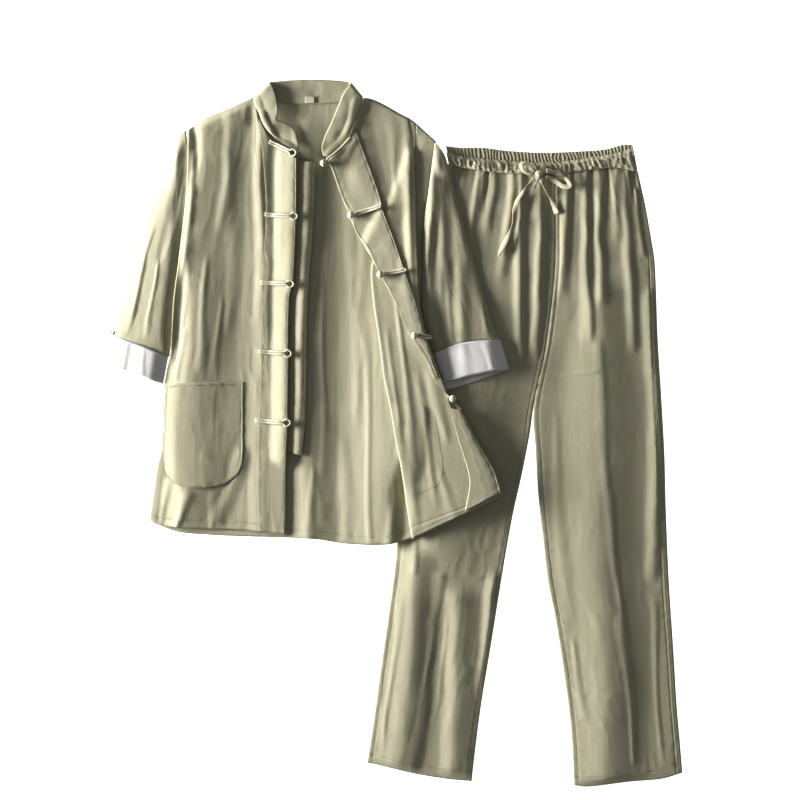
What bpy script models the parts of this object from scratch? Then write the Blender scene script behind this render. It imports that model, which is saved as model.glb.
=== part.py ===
# A tai chi uniform laid flat: a stand-collar jacket with frog fastenings,
# its left front thrown open, lying on a pair of drawstring trousers.
#
# The cloth is made of walls. Each cut piece is a patch between four edges,
# laid ply on ply: a piece drops on what lies under it and keeps PLY of air.
# The layout is drawn in steps of 1.6 mm, x to the right and y down the table.
import bpy
import bmesh
import math
import numpy as np
from collections import namedtuple

STEP = 0.0016          # one layout step, in metres
MID_X = 391.31         # middle of the layout, in steps
MID_Y = 433.0
WALL = 0.0010          # cloth wall
PLY = 0.0005           # air between plies
CORD_D = 0.0034        # frog cord
BALL_D = 0.0112        # frog knot
TAPE_W = 0.0078        # drawstring tape
CELL = 0.003           # cell of the height maps
HALF = (0.52, 0.62)    # half size of the height maps

SAGE = (0.50, 0.485, 0.345)
PALE = (0.62, 0.60, 0.47)
WHITE = (0.86, 0.86, 0.85)

Pt = namedtuple("Pt", "x y")
Fold = namedtuple("Fold", "x0 y0 x1 y1 width height")


def pts(*pairs):
    return [Pt(*p) for p in pairs]


# ------------------------------------------------------------------ outlines
# jacket, wearer's right side (left of the table)
SHOULDER_R = pts((187.5, 130.0), (202, 119.5), (228.5, 108), (244, 101), (254.5, 97.5))
SIDE_R = pts((187.5, 130.0), (187.5, 156), (186.5, 190), (183, 223), (178.5, 261),
             (173.5, 300), (170.5, 350), (164.5, 383), (161.5, 449), (157.5, 462),
             (148.5, 521))
NECK_R = pts((254.5, 97.5), (258.5, 114), (268.6, 135.5), (283, 147.5), (298, 158))
FRONT_EDGE_R = pts((298, 158), (297, 215), (294, 280), (290, 300), (288.5, 416),
                   (286.5, 466), (285.7, 535.5))
HEM_R = pts((148.5, 521), (160, 525.5), (206, 529), (247, 530.5), (285.7, 535.5))
PLACKET_SEAM_R = pts((258.9, 118), (263.5, 165), (266, 212), (262, 285), (261, 350), (259, 420),
                     (258, 492), (259, 531))
# jacket back, all of it
BACK_TOP = pts((188, 131), (228, 109.5), (256, 99), (282, 103.5), (308, 105), (335, 103.5),
               (360.5, 99), (400, 113.5), (435, 142.5))
BACK_LEFT = pts((188, 131), (188, 156), (187, 190), (183.5, 223), (179, 261), (174, 300),
                (171, 350), (165, 383), (162, 449), (158.5, 462), (151.5, 522))
BACK_RIGHT = pts((435, 142.5), (429.5, 185), (424, 223), (421, 269), (419.5, 300), (420, 350),
                 (423, 390), (434, 470), (444, 524))
BACK_HEM = pts((151.5, 522), (176, 531.7), (210, 535), (243, 536.5), (285, 537.7),
               (317, 539.4), (344.6, 543.7), (384, 544.6), (408, 539.4), (444, 524))
UNDERLAP_L = pts((289, 160.5), (286, 300), (284, 416), (283.5, 449.5))
UNDERLAP_R = pts((315.5, 162), (314, 217), (308, 300), (305.6, 416), (301.4, 456))
POCKET_TOP = pts((166.5, 385), (178, 383.6), (232.6, 381.5), (242.6, 382))
POCKET_L = pts((166.5, 385), (163.8, 449), (163.6, 462), (166, 476))
POCKET_R = pts((242.6, 382), (242.4, 430), (241.7, 462), (236.5, 475))
POCKET_BOTTOM = pts((166, 476), (175, 484.2), (196, 487.5), (223, 484), (236.5, 475))

# wearer's left front: every row is one section of the folded cloth, from the
# side seam in under to the turn, out to the roll, and back to the front edge
Section = namedtuple("Section", "side turn roll neck mid edge fold unroll")
FLAP = [
    Section(Pt(436, 141.5), Pt(416, 123), Pt(409, 118), Pt(362.5, 98), Pt(350, 133.5), Pt(328, 160.5), 0.0, 0.0),
    Section(Pt(433, 158), Pt(414.6, 150), Pt(413.4, 149.5), Pt(376, 146), Pt(357, 154), Pt(331.5, 169), 0.5, 0.0),
    Section(Pt(429.5, 186), Pt(405, 183), Pt(415.3, 186), Pt(387, 185), Pt(364, 188), Pt(338.6, 189), 1.0, 0.0),
    Section(Pt(424.6, 224), Pt(389.5, 222), Pt(416.2, 224), Pt(396.5, 225), Pt(375, 226), Pt(353, 225), 1.0, 0.0),
    Section(Pt(422, 264), Pt(372, 263), Pt(417.8, 264), Pt(404, 264), Pt(389, 264), Pt(374, 263), 1.0, 0.0),
    Section(Pt(420, 300), Pt(373, 300), Pt(419.2, 300), Pt(411, 300), Pt(402.5, 300), Pt(393.5, 300), 1.0, 0.0),
    Section(Pt(420.5, 334), Pt(378, 334), Pt(426, 334), Pt(420, 334), Pt(414.3, 334), Pt(408.5, 334), 1.0, 0.0),
    Section(Pt(421.5, 360), Pt(381.5, 360), Pt(434.6, 360), Pt(431.4, 360), Pt(428.2, 360), Pt(425, 360), 1.0, 0.0),
    Section(Pt(423, 380), Pt(384, 380), Pt(442, 380), Pt(439.4, 380.6), Pt(436.9, 381), Pt(434.4, 381.4), 1.0, 0.0),
    Section(Pt(425, 398), Pt(388, 398), Pt(449, 398), Pt(449.7, 398.3), Pt(450.4, 398.6), Pt(451, 399), 1.0, 0.55),
    Section(Pt(427, 414), Pt(391, 413), Pt(454.5, 411.5), Pt(457, 411), Pt(459.2, 410.5), Pt(461.5, 410), 1.0, 1.0),
    Section(Pt(430, 441), Pt(395.3, 440), Pt(469, 444), Pt(472, 443), Pt(475, 442), Pt(478, 441), 1.0, 1.0),
    Section(Pt(434, 472), Pt(401.5, 472), Pt(484.5, 474.5), Pt(488, 473), Pt(491.5, 471.5), Pt(495, 470), 1.0, 1.0),
    Section(Pt(437, 500), Pt(406.5, 506), Pt(488.5, 489.5), Pt(492.3, 487.3), Pt(496.2, 485), Pt(500, 483), 1.0, 1.0),
    Section(Pt(440, 523), Pt(412, 539), Pt(491, 500.7), Pt(495, 498.2), Pt(499, 495.6), Pt(503, 493), 1.0, 1.0),
]
PLACKET_SEAM_L = pts((354.3, 126), (366, 158), (379, 194), (383.5, 212), (394, 240), (405, 273),
                     (415.2, 303), (422.3, 330), (431.4, 358), (438.5, 378))
PLACKET_EDGE_L = pts((328.4, 161.5), (332, 169), (343, 200), (350.7, 214), (355.7, 232),
                     (368.7, 250), (378.6, 272), (390.6, 293), (406.6, 330), (425.6, 360), (433.5, 378.5))
FACING_L = pts((449.8, 408), (458, 440), (469, 480), (464.5, 510.5))
FACING_R = pts((459.5, 409.5), (476.4, 441), (493.4, 470.5), (500.6, 492))

# sleeves, each between an outer fold, an inner fold, the armhole and the cuff
SLEEVE_R_OUT = pts((185.6, 129.6), (175, 141), (168.6, 172), (157, 194), (141, 239),
                   (128.8, 284), (116.5, 321), (112, 334.4))
SLEEVE_R_IN = pts((181.8, 226), (176.8, 262), (171.8, 300), (167.5, 356.5))
ARMHOLE_R = pts((185.6, 129.6), (186.3, 156), (185.2, 190), (181.8, 226))
SLEEVE_R_END = pts((112, 334.4), (139, 344.5), (167.5, 356.5))
CUFF_R_OUT = pts((111.6, 336), (104, 351), (100, 363))
CUFF_R_IN = pts((167, 358.2), (164.6, 371), (162.4, 384.3))
CUFF_R_TOP = pts((111.6, 336), (139, 346.2), (167, 358.2))
CUFF_R_END = pts((100, 363), (139.7, 376), (162.4, 384.3))

SLEEVE_L_OUT = pts((438.2, 142.2), (445.2, 157), (459, 208), (468, 240), (480, 280),
                   (483.5, 294), (496, 333), (500, 340))
SLEEVE_L_IN = pts((424.3, 262), (423.4, 285), (423.2, 312), (425.2, 330), (433.2, 352.8))
ARMHOLE_L = pts((438.2, 142.2), (431.3, 186), (426.4, 224), (424.3, 262))
SLEEVE_L_END = pts((500, 340), (477, 341), (457, 344), (433.2, 352.8))
CUFF_L_OUT = pts((500.7, 341.4), (505, 355), (509, 369))
CUFF_L_IN = pts((433.8, 354.6), (439, 370), (446, 390.5))
CUFF_L_TOP = pts((500.7, 341.4), (477, 342.5), (457, 345.6), (433.8, 354.6))
CUFF_L_FRONT = pts((509, 369), (487.6, 372), (466, 376.7), (455, 379.6), (443.5, 381.5))
CUFF_L_BACK = pts((509, 369), (477, 381), (446, 390.5))

# trousers: the wearer's right leg lies on the left
SIDE_T_R = pts((447.5, 166), (441, 180), (433, 220), (425, 280), (419, 350), (415, 400),
               (410, 450), (397, 546), (392.4, 585), (381, 665), (372, 730), (366.7, 763))
INNER_T_R = pts((555, 175.5), (555.3, 225), (554.6, 270), (546, 345), (532.7, 407), (529.7, 434),
                (522, 474), (513, 514), (506, 552), (499.6, 591), (490.6, 647), (481.7, 701),
                (475, 752), (471.7, 781.5))
TOP_T_R = pts((447.5, 166), (470, 170.9), (494, 174), (519, 175.4), (555, 175.5))
HEM_T_R = pts((366.7, 763), (379, 765.4), (417, 774.4), (446, 779), (471.7, 781.5))
INNER_T_L = pts((556.2, 175.5), (556.5, 225), (555.8, 270), (547.2, 345), (534.5, 407), (536, 452),
                (538.6, 496), (542.4, 534), (547.5, 580), (555, 618), (564, 674), (571, 730),
                (574, 785.5))
SIDE_T_L = pts((638.5, 173.8), (645, 203), (651.6, 240), (655, 263.5), (658, 340), (661.4, 396),
               (664.7, 456), (666, 507), (669, 580), (673.7, 652), (677, 707), (680, 741),
               (682.6, 773))
TOP_T_L = pts((556.2, 175.5), (568.7, 174), (597, 170.8), (618, 169.6), (638.5, 173.8))
HEM_T_L = pts((574, 785.5), (586.6, 787), (629, 782), (662.5, 779), (682.6, 773))
BAND_TOP = pts((446, 152), (468, 156.7), (509.7, 160), (541.6, 162), (565.5, 160.7),
               (597, 156), (621, 151), (633, 147))
BAND_END = pts((449, 165), (470, 169), (494, 172.2), (519, 173.7), (549.6, 173.7),
               (568.7, 172.3), (597, 169.2), (618, 168), (637.5, 172))
BAND_BACK_TOP = pts((446, 145.5), (462, 147), (482.6, 147), (506.5, 150), (541.6, 152),
                    (573.5, 151), (605, 148.7), (623, 144), (632.5, 144))
BAND_BACK_END = pts((449.5, 164.4), (494, 171), (549.6, 172.4), (597, 168), (637, 171))

# ------------------------------------------------------------ largest folds
FOLDS = {
    "jacket_front_right": [
        Fold(200, 128, 193, 215, 16, 3.0), Fold(240, 165, 246, 300, 20, 2.6),
        Fold(222, 205, 214, 330, 18, 2.2), Fold(246, 300, 238, 380, 18, 2.0),
        Fold(196, 250, 186, 380, 18, 2.4), Fold(250, 470, 246, 530, 14, 2.2),
        Fold(205, 490, 200, 528, 16, 2.0), Fold(176, 488, 170, 525, 12, 2.0)],
    "jacket_back": [
        Fold(352, 170, 362, 540, 40, 2.1), Fold(330, 470, 322, 540, 16, 1.1),
        Fold(372, 430, 378, 544, 16, 1.4)],
    "sleeve_right": [
        Fold(172, 160, 134, 320, 16, 2.2), Fold(180, 215, 158, 345, 14, 2.1)],
    "sleeve_left": [
        Fold(446, 180, 476, 330, 16, 1.7), Fold(434, 220, 448, 345, 14, 1.4)],
    "trousers_front_right": [
        Fold(470, 172, 455, 260, 12, 1.9), Fold(497, 176, 486, 330, 12, 1.8),
        Fold(514, 178, 512, 300, 10, 1.8), Fold(536, 178, 537, 300, 12, 1.8),
        Fold(441, 573, 414, 774, 10, 1.3), Fold(520, 380, 470, 640, 16, 1.1)],
    "trousers_front_left": [
        Fold(583, 178, 584, 300, 12, 2.2), Fold(600, 176, 598, 260, 10, 2.1),
        Fold(618, 174, 622, 240, 10, 2.0), Fold(598, 340, 616, 563, 12, 1.7),
        Fold(616, 563, 634, 763, 12, 1.7)],
    "flap": [
        Fold(404, 160, 408, 225, 10, 1.4), Fold(392, 320, 404, 520, 14, 1.6),
        Fold(425, 400, 446, 510, 14, 1.3)],
}

# frog fastenings
Loop = namedtuple("Loop", "x0 y0 x1 y1")
LOOPS = [Loop(269.5, 141.5, 296, 155), Loop(265, 214.5, 297.5, 217),
         Loop(261, 282.5, 293.8, 284.5), Loop(259, 351.5, 291.5, 354),
         Loop(255, 420.5, 290.5, 423)]
Knot = namedtuple("Knot", "ball tail mid")
KNOTS = [Knot(Pt(323.5, 163.5), Pt(350.5, 139.5), Pt(338, 152.5)),
         Knot(Pt(351, 215.5), Pt(379.5, 207), Pt(366, 211)),
         Knot(Pt(380.3, 275), Pt(405, 270.5), Pt(393, 272.8)),
         Knot(Pt(414.4, 336), Pt(430, 337.5), Pt(422, 336)),
         Knot(Pt(452.4, 398.6), None, None)]

# stand collar: a section every few steps from the right front end, round the
# back, to the left front end; rise lifts the free edge, ply is 1 on the fronts
Stand = namedtuple("Stand", "sx sy fx fy rise ply")
COLLAR = [
    Stand(298.2, 153.6, 299, 142.0, 2.0, 1), Stand(289.5, 148.2, 293.5, 129, 3.5, 1),
    Stand(279.5, 141.2, 284, 122, 5.0, 1), Stand(269.6, 132.6, 277, 119.5, 8.0, 1),
    Stand(263.4, 124, 278.4, 111, 9.0, 1), Stand(258.8, 112.4, 277.4, 102, 9.0, 1),
    Stand(254.2, 103.8, 275.5, 93, 8.0, 1), Stand(254, 98, 271.5, 84, 5.0, 1),
    Stand(253.6, 96.4, 269.6, 82.6, 2.4, 0.5),
    Stand(256, 97.4, 272.5, 81.6, 0, 0), Stand(271, 101.2, 284, 80.2, 0, 0),
    Stand(289, 103, 297, 79.4, 0, 0), Stand(308, 103.6, 310, 79, 0, 0),
    Stand(327, 103, 324, 79.4, 0, 0), Stand(345, 101.2, 337, 80.2, 0, 0),
    Stand(360, 97.4, 348.5, 81.6, 0, 0),
    Stand(362.6, 96.4, 351, 82.8, 2.4, 0.5),
    Stand(362, 98.2, 349.5, 85, 5.0, 1), Stand(360, 106, 343.5, 93, 8.0, 1),
    Stand(356.6, 116.5, 338, 106.5, 9.0, 1), Stand(351.2, 129, 331.5, 122, 9.0, 1),
    Stand(344.6, 140.4, 325, 136, 7.0, 1), Stand(337, 149.4, 321.6, 148, 5.0, 1),
    Stand(330, 157.6, 323.4, 156, 3.0, 1)]

# drawstring: routes over the waistband and the fronts, with their lift in mm
Route = namedtuple("Route", "x y lift")
STRING_ROUTES = {
    "drawstring_loop_right": [Route(531.5, 171, 2.5), Route(525.5, 164, 4.5), Route(521, 165.5, 5),
                              Route(523.5, 171.5, 2.4), Route(531.8, 175.5, 1.2)],
    "drawstring_loop_left": [Route(545.5, 171.5, 1.8), Route(556, 173.5, 3), Route(566, 179, 4.5),
                             Route(569.8, 186.5, 4.5), Route(563, 186.5, 2.5), Route(553, 179.5, 1.5),
                             Route(545.8, 176.5, 0.8)],
    "drawstring_end_right": [Route(534.5, 178.5, 0.4), Route(526, 189, 0.6), Route(518, 200, 0.6),
                             Route(514.6, 211, 0.6), Route(513.6, 224, 0.6), Route(507, 239, 0.6),
                             Route(498.5, 256, 0.6)],
    "drawstring_end_left": [Route(541, 179.5, 0.4), Route(546, 189, 0.6), Route(551.5, 200, 0.6),
                            Route(557, 213.5, 0.6)],
}

# ------------------------------------------------------------------- helpers
for old in list(bpy.data.objects):
    bpy.data.objects.remove(old, do_unlink=True)
GARMENT = bpy.data.collections.new("tai_chi_uniform")
bpy.context.scene.collection.children.link(GARMENT)


def material(name, rgb, rough):
    mat = bpy.data.materials.new(name)
    mat.use_nodes = True
    bsdf = mat.node_tree.nodes["Principled BSDF"]
    bsdf.inputs["Base Color"].default_value = (*rgb, 1)
    bsdf.inputs["Roughness"].default_value = rough
    bsdf.inputs["Metallic"].default_value = 0.0
    mat.diffuse_color = (*rgb, 1)
    return mat


MATS = {"sage": material("sage_cloth", SAGE, 0.85), "pale": material("pale_cloth", PALE, 0.85),
        "white": material("white_cloth", WHITE, 0.8), "cord": material("cord", PALE, 0.7)}


def table(rows):
    return np.array([(r.x, r.y) for r in rows], float)


def metres(xy):
    xy = np.asarray(xy, float)
    return np.stack([(xy[..., 0] - MID_X) * STEP, (MID_Y - xy[..., 1]) * STEP], -1)


def smooth_line(p, at):
    """Smooth curve through the points p at parameters at, in chord lengths."""
    p = np.asarray(p, float)
    s = np.r_[0, np.cumsum(np.linalg.norm(np.diff(p, axis=0), axis=1))]
    if len(p) == 2:
        k = (np.asarray(at) / s[-1])[:, None]
        return p[0] * (1 - k) + p[1] * k
    m = np.zeros_like(p)
    m[1:-1] = (p[2:] - p[:-2]) / (s[2:] - s[:-2])[:, None]
    m[0] = (p[1] - p[0]) / (s[1] - s[0])
    m[-1] = (p[-1] - p[-2]) / (s[-1] - s[-2])
    i = np.clip(np.searchsorted(s, at, side="right") - 1, 0, len(s) - 2)
    h = s[i + 1] - s[i]
    t = (np.asarray(at) - s[i]) / h
    t, h = t[:, None], h[:, None]
    return ((2 * t**3 - 3 * t**2 + 1) * p[i] + (t**3 - 2 * t**2 + t) * h * m[i]
            + (-2 * t**3 + 3 * t**2) * p[i + 1] + (t**3 - t**2) * h * m[i + 1])


def along(rows, n):
    """n + 1 points along an edge, with its own corners among them."""
    p = table(rows) if isinstance(rows[0], Pt) else np.asarray(rows, float)
    s = np.r_[0, np.cumsum(np.linalg.norm(np.diff(p, axis=0), axis=1))]
    spans = len(p) - 1
    if n < spans:
        return smooth_line(p, np.linspace(0, s[-1], n + 1))
    parts = np.ones(spans, int)
    for _ in range(n - spans):
        parts[np.argmax(np.diff(s) / parts)] += 1
    at = [np.linspace(s[k], s[k + 1], parts[k] + 1)[:-1] for k in range(spans)]
    return smooth_line(p, np.r_[np.concatenate(at), s[-1]])


def patch(left, right, top, bottom, nu, nv):
    """Points of a cut piece between its four edges, rows from top to bottom."""
    le, ri, to, bo = along(left, nv), along(right, nv), along(top, nu), along(bottom, nu)
    u = np.linspace(0, 1, nu + 1)[None, :, None]
    v = np.linspace(0, 1, nv + 1)[:, None, None]
    corners = ((1 - u) * (1 - v) * to[0] + u * (1 - v) * to[-1]
               + (1 - u) * v * bo[0] + u * v * bo[-1])
    return (1 - u) * le[:, None] + u * ri[:, None] + (1 - v) * to[None] + v * bo[None] - corners


def ridge(xy, folds):
    """Height of the folds at layout points, in metres."""
    z = np.zeros(xy.shape[:-1])
    for f in folds:
        a, b = np.array([f.x0, f.y0], float), np.array([f.x1, f.y1], float)
        d = b - a
        length = np.hypot(*d)
        t = ((xy - a) @ d) / length**2
        off = np.abs((xy - a) @ np.array([-d[1], d[0]])) / length
        across = np.where(off < f.width, 0.5 + 0.5 * np.cos(np.pi * np.clip(off / f.width, 0, 1)), 0)
        ends = np.clip(np.minimum((t + 0.12) / 0.24, (1.12 - t) / 0.24), 0, 1)
        z = np.maximum(z, f.height * 0.001 * across * ends * ends * (3 - 2 * ends))
    return z


# ------------------------------------------------------------- ply on ply
NX, NY = int(2 * HALF[0] / CELL), int(2 * HALF[1] / CELL)
TOPS = {}              # highest point of each laid piece, per cell


def cell(xy):
    i = np.clip(((xy[..., 0] + HALF[0]) / CELL).astype(int), 0, NX - 1)
    j = np.clip(((xy[..., 1] + HALF[1]) / CELL).astype(int), 0, NY - 1)
    return i, j


def spread(h):
    """Each cell takes the highest of itself and its neighbours."""
    out = h.copy()
    for _ in range(1):
        a = out.copy()
        a[1:] = np.maximum(a[1:], out[:-1])
        a[:-1] = np.maximum(a[:-1], out[1:])
        b = a.copy()
        b[:, 1:] = np.maximum(b[:, 1:], a[:, :-1])
        b[:, :-1] = np.maximum(b[:, :-1], a[:, 1:])
        out = b
    return out


def ground(names):
    h = np.zeros((NX, NY))
    for n in names:
        if n in TOPS:
            h = np.maximum(h, TOPS[n])
    h = spread(h)
    return np.where(h > 0, h + PLY, 0.0)


def weights(k):
    w = [(i / k, j / k, (k - i - j) / k) for i in range(k + 1) for j in range(k + 1 - i)]
    return np.array(w)


def samples(xy, tris, k=10):
    w = weights(k)
    return np.einsum("pw,twc->tpc", w, xy[tris]), w


def lay(xy, tris, on, rise, k=10):
    """Heights of the underside over what lies below, raised by rise."""
    g = ground(on)
    i, j = cell(xy)
    z = g[i, j] + rise
    p, w = samples(xy, tris, k)
    i, j = cell(p)
    need = g[i, j]
    share = w / (w**2).sum(1, keepdims=True)
    for _ in range(60):
        zp = np.einsum("pw,tw->tp", w, z[tris])
        lack = np.maximum(need - zp, 0)
        if lack.max() < 1e-6:
            break
        add = (lack[:, :, None] * share[None]).max(1)
        np.maximum.at(z, tris, z[tris] + add)
    return z


def cover(name, xy, z, tris, wall=WALL, keep=None, k=10):
    """Note the top of a laid piece in the height maps."""
    p, w = samples(xy, tris, k)
    a, b, c = (np.c_[xy, z][tris[:, q]] for q in range(3))
    n = np.cross(b - a, c - a)
    tilt = np.linalg.norm(n, axis=1) / np.maximum(np.abs(n[:, 2]), 1e-12)
    zp = np.einsum("pw,tw->tp", w, z[tris]) + wall * np.minimum(tilt, 1.6)[:, None]
    if keep is not None:
        zp = np.where(np.einsum("pw,tw->tp", w, keep[tris]) > 0.25, zp, 0)
    h = TOPS.setdefault(name, np.zeros((NX, NY)))
    i, j = cell(p)
    np.maximum.at(h, (i.ravel(), j.ravel()), zp.ravel())


def grid_mesh(nu, nv, close=False):
    """A triangulated grid, and the row and column of each of its points."""
    bm = bmesh.new()
    bmesh.ops.create_grid(bm, x_segments=nu, y_segments=nv, size=0.5)
    bmesh.ops.triangulate(bm, faces=bm.faces, quad_method="FIXED")
    bm.verts.ensure_lookup_table()
    col = np.array([round((v.co.x + 0.5) * nu) for v in bm.verts])
    row = np.array([round((0.5 - v.co.y) * nv) for v in bm.verts])
    tris = np.array([[v.index for v in f.verts] for f in bm.faces])
    return bm, row, col, tris


def finish_piece(name, bm, mat, offset=1.0, wall=WALL, flip=False, weld=False):
    if weld:
        bmesh.ops.remove_doubles(bm, verts=bm.verts, dist=1e-6)
    if flip:
        bmesh.ops.reverse_faces(bm, faces=bm.faces)
    me = bpy.data.meshes.new(name)
    bm.to_mesh(me)
    bm.free()
    ob = bpy.data.objects.new(name, me)
    GARMENT.objects.link(ob)
    me.materials.append(MATS[mat])
    sol = ob.modifiers.new("cloth_wall", "SOLIDIFY")
    sol.thickness = wall
    sol.offset = offset
    sol.use_rim = True
    return ob


def panel(name, pts_xy, on, mat="sage", rise=None, lift=0.0, wall=WALL):
    """One open ply. pts_xy holds layout points, rows from top to bottom."""
    nv, nu = pts_xy.shape[0] - 1, pts_xy.shape[1] - 1
    bm, row, col, tris = grid_mesh(nu, nv)
    lay_xy = pts_xy[row, col]
    up = ridge(lay_xy, FOLDS.get(name, [])) + lift
    if rise is not None:
        up = up + rise[row, col]
    xy = metres(lay_xy)
    z = lay(xy, tris, on, up)
    for v, p, h in zip(bm.verts, xy, z):
        v.co = (p[0], p[1], h)
    cover(name, xy, z, tris, wall)
    return finish_piece(name, bm, mat, wall=wall)


def tube(name, lower, upper, on, mat="sage", lift=0.0, round_edge=1.2):
    """A flattened tube. lower and upper are the layout points of its two
    plies, row for row, column 0 on one fold and the last on the other."""
    nv, nu = lower.shape[0] - 1, lower.shape[1] - 1
    bm, row, col, tris = grid_mesh(nu, nv)
    inset = lambda g: (lambda c, k: c + (g - c) * k)(g.mean(1, keepdims=True), 1 - round_edge * 2 /
                                                     np.linalg.norm(g[:, -1:] - g[:, :1], axis=2, keepdims=True))
    lo, up = inset(lower), inset(upper)
    low_l, up_l = lo[row, col], up[row, col]
    low_xy, up_xy = metres(low_l), metres(up_l)
    z_low = lay(low_xy, tris, on, np.zeros(len(low_xy)))
    cover(name + "_low", low_xy, z_low, tris)
    edge = np.sin(np.pi * col / nu)
    z_up = lay(up_xy, tris, list(on) + [name + "_low"],
               ridge(up_l, FOLDS.get(name, [])) * np.clip(edge * 2, 0, 1) + lift * edge)
    cover(name, up_xy, z_up, tris)
    cover(name, low_xy, z_low, tris)
    ZL, ZU = np.zeros((nv + 1, nu + 1)), np.zeros((nv + 1, nu + 1))
    ZL[row, col], ZU[row, col] = z_low, z_up + WALL
    bm.free()
    ring = []
    for r in range(nv + 1):
        a = [(*metres(lo[r, c]), ZL[r, c]) for c in range(nu + 1)]
        b = [(*metres(up[r, c]), ZU[r, c]) for c in range(nu, -1, -1)]
        far = (*metres((lower[r, -1] + upper[r, -1]) / 2), (ZL[r, -1] + ZU[r, -1]) / 2)
        near = (*metres((lower[r, 0] + upper[r, 0]) / 2), (ZL[r, 0] + ZU[r, 0]) / 2)
        ring.append([near] + a + [far] + b + [near])
    ring = np.array(ring)
    bm, row, col, tris = grid_mesh(ring.shape[1] - 1, nv)
    for v, r, c in zip(bm.verts, row, col):
        v.co = ring[r, c]
    # the grid's faces look inwards or outwards with the turn of the ring
    bm.normal_update()
    low_faces = [f for f in bm.faces if all(1 <= col[v.index] <= nu + 1 for v in f.verts)]
    inward = sum(f.normal.z for f in low_faces) > 0
    return finish_piece(name, bm, mat, offset=-1.0, flip=inward, weld=True)


# ------------------------------------------------------------------ trousers
T_BACK = ["trousers_back_right", "trousers_back_left"]
T_FRONT = ["trousers_front_right", "trousers_front_left"]
panel("trousers_back_right", patch(SIDE_T_R, INNER_T_R, TOP_T_R, HEM_T_R, 5, 14), [])
panel("trousers_back_left", patch(INNER_T_L, SIDE_T_L, TOP_T_L, HEM_T_L, 5, 14), [])
puff = lambda nv, nu, h: h * np.sin(np.linspace(0, np.pi, nu + 1))[None] * np.ones((nv + 1, 1))
panel("trousers_front_right", patch(SIDE_T_R, INNER_T_R, TOP_T_R, HEM_T_R, 9, 20), T_BACK,
      rise=puff(20, 9, 0.0012))
panel("trousers_front_left", patch(INNER_T_L, SIDE_T_L, TOP_T_L, HEM_T_L, 9, 20), T_BACK,
      rise=puff(20, 9, 0.0012))


def gathers(nv, nu, height):
    up = np.where(np.arange(nu + 1) % 2 == 0, 0.0, height)
    return up[None] * np.ones((nv + 1, 1))


def edge_line(a, b):
    return pts(tuple(a), tuple(b))


band_back = patch(edge_line(BAND_BACK_TOP[0], BAND_BACK_END[0]),
                  edge_line(BAND_BACK_TOP[-1], BAND_BACK_END[-1]), BAND_BACK_TOP, BAND_BACK_END, 28, 1)
panel("waistband_back", band_back, [], rise=np.zeros((2, 29)))
band = patch(edge_line(BAND_TOP[0], BAND_END[0]), edge_line(BAND_TOP[-1], BAND_END[-1]),
             BAND_TOP, BAND_END, 56, 2)
swell = np.array([0.2, 1.0, 0.4])[:, None] * 0.0022
panel("waistband_front", band, ["waistband_back"], rise=gathers(2, 56, 0.0013) + swell)
TROUSERS = T_BACK + T_FRONT + ["waistband_back", "waistband_front"]

# ------------------------------------------------------------------- sleeves
sl_r = patch(SLEEVE_R_OUT, SLEEVE_R_IN, ARMHOLE_R, SLEEVE_R_END, 5, 8)
tube("sleeve_right", sl_r, sl_r, [], lift=0.001)
cu_r = patch(CUFF_R_OUT, CUFF_R_IN, CUFF_R_TOP, CUFF_R_END, 5, 2)
tube("cuff_right", cu_r, cu_r, [], mat="white", lift=0.0012)
sl_l = patch(SLEEVE_L_OUT, SLEEVE_L_IN, ARMHOLE_L, SLEEVE_L_END, 5, 8)
tube("sleeve_left", sl_l, sl_l, TROUSERS, lift=0.001)
cu_lo = patch(CUFF_L_OUT, CUFF_L_IN, CUFF_L_TOP, CUFF_L_BACK, 5, 2)
cu_up = patch(CUFF_L_OUT, pts((433.8, 354.6), (437.8, 368), (443.5, 381.5)), CUFF_L_TOP,
              CUFF_L_FRONT, 5, 2)
tube("cuff_left", cu_lo, cu_up, TROUSERS, mat="white", lift=0.0012)
SLEEVE_PAIR = ["sleeve_left", "cuff_left"]

# ------------------------------------------------------------- jacket body
panel("jacket_back", patch(BACK_LEFT, BACK_RIGHT, BACK_TOP, BACK_HEM, 12, 14), TROUSERS)
underlap = patch(UNDERLAP_L, UNDERLAP_R, pts((289, 160.5), (315.5, 162)),
                 pts((283.5, 449.5), (301.4, 456)), 2, 9)
panel("underlap", underlap, ["jacket_back"])
top_r = [*SHOULDER_R, *NECK_R[1:]]
front_r = patch(SIDE_R, FRONT_EDGE_R, top_r, HEM_R, 8, 15)
panel("jacket_front_right", front_r, ["jacket_back", "underlap"])
band_r = patch(PLACKET_SEAM_R, pts((296.6, 158.4), *[(p.x - 0.9, p.y) for p in FRONT_EDGE_R[1:-1]],
                                   (285, 533.8)),
               pts((258.9, 118), (269.2, 137), (283, 148.6), (296.6, 158.4)),
               pts((259, 531), (285, 533.8)), 3, 15)
panel("placket_right", band_r, ["jacket_front_right"], mat="sage")
panel("pocket_right", patch(POCKET_L, POCKET_R, POCKET_TOP, POCKET_BOTTOM, 4, 5),
      ["jacket_front_right"])

# ------------------------------------------------ left front, thrown open
BELOW_FLAP = TROUSERS + ["jacket_back"]
BESIDE_FLAP = BELOW_FLAP + SLEEVE_PAIR


def between(a, b, n):
    k = np.arange(n)[:, None] / n
    return np.array(a, float) * (1 - k) + np.array(b, float) * k


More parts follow.
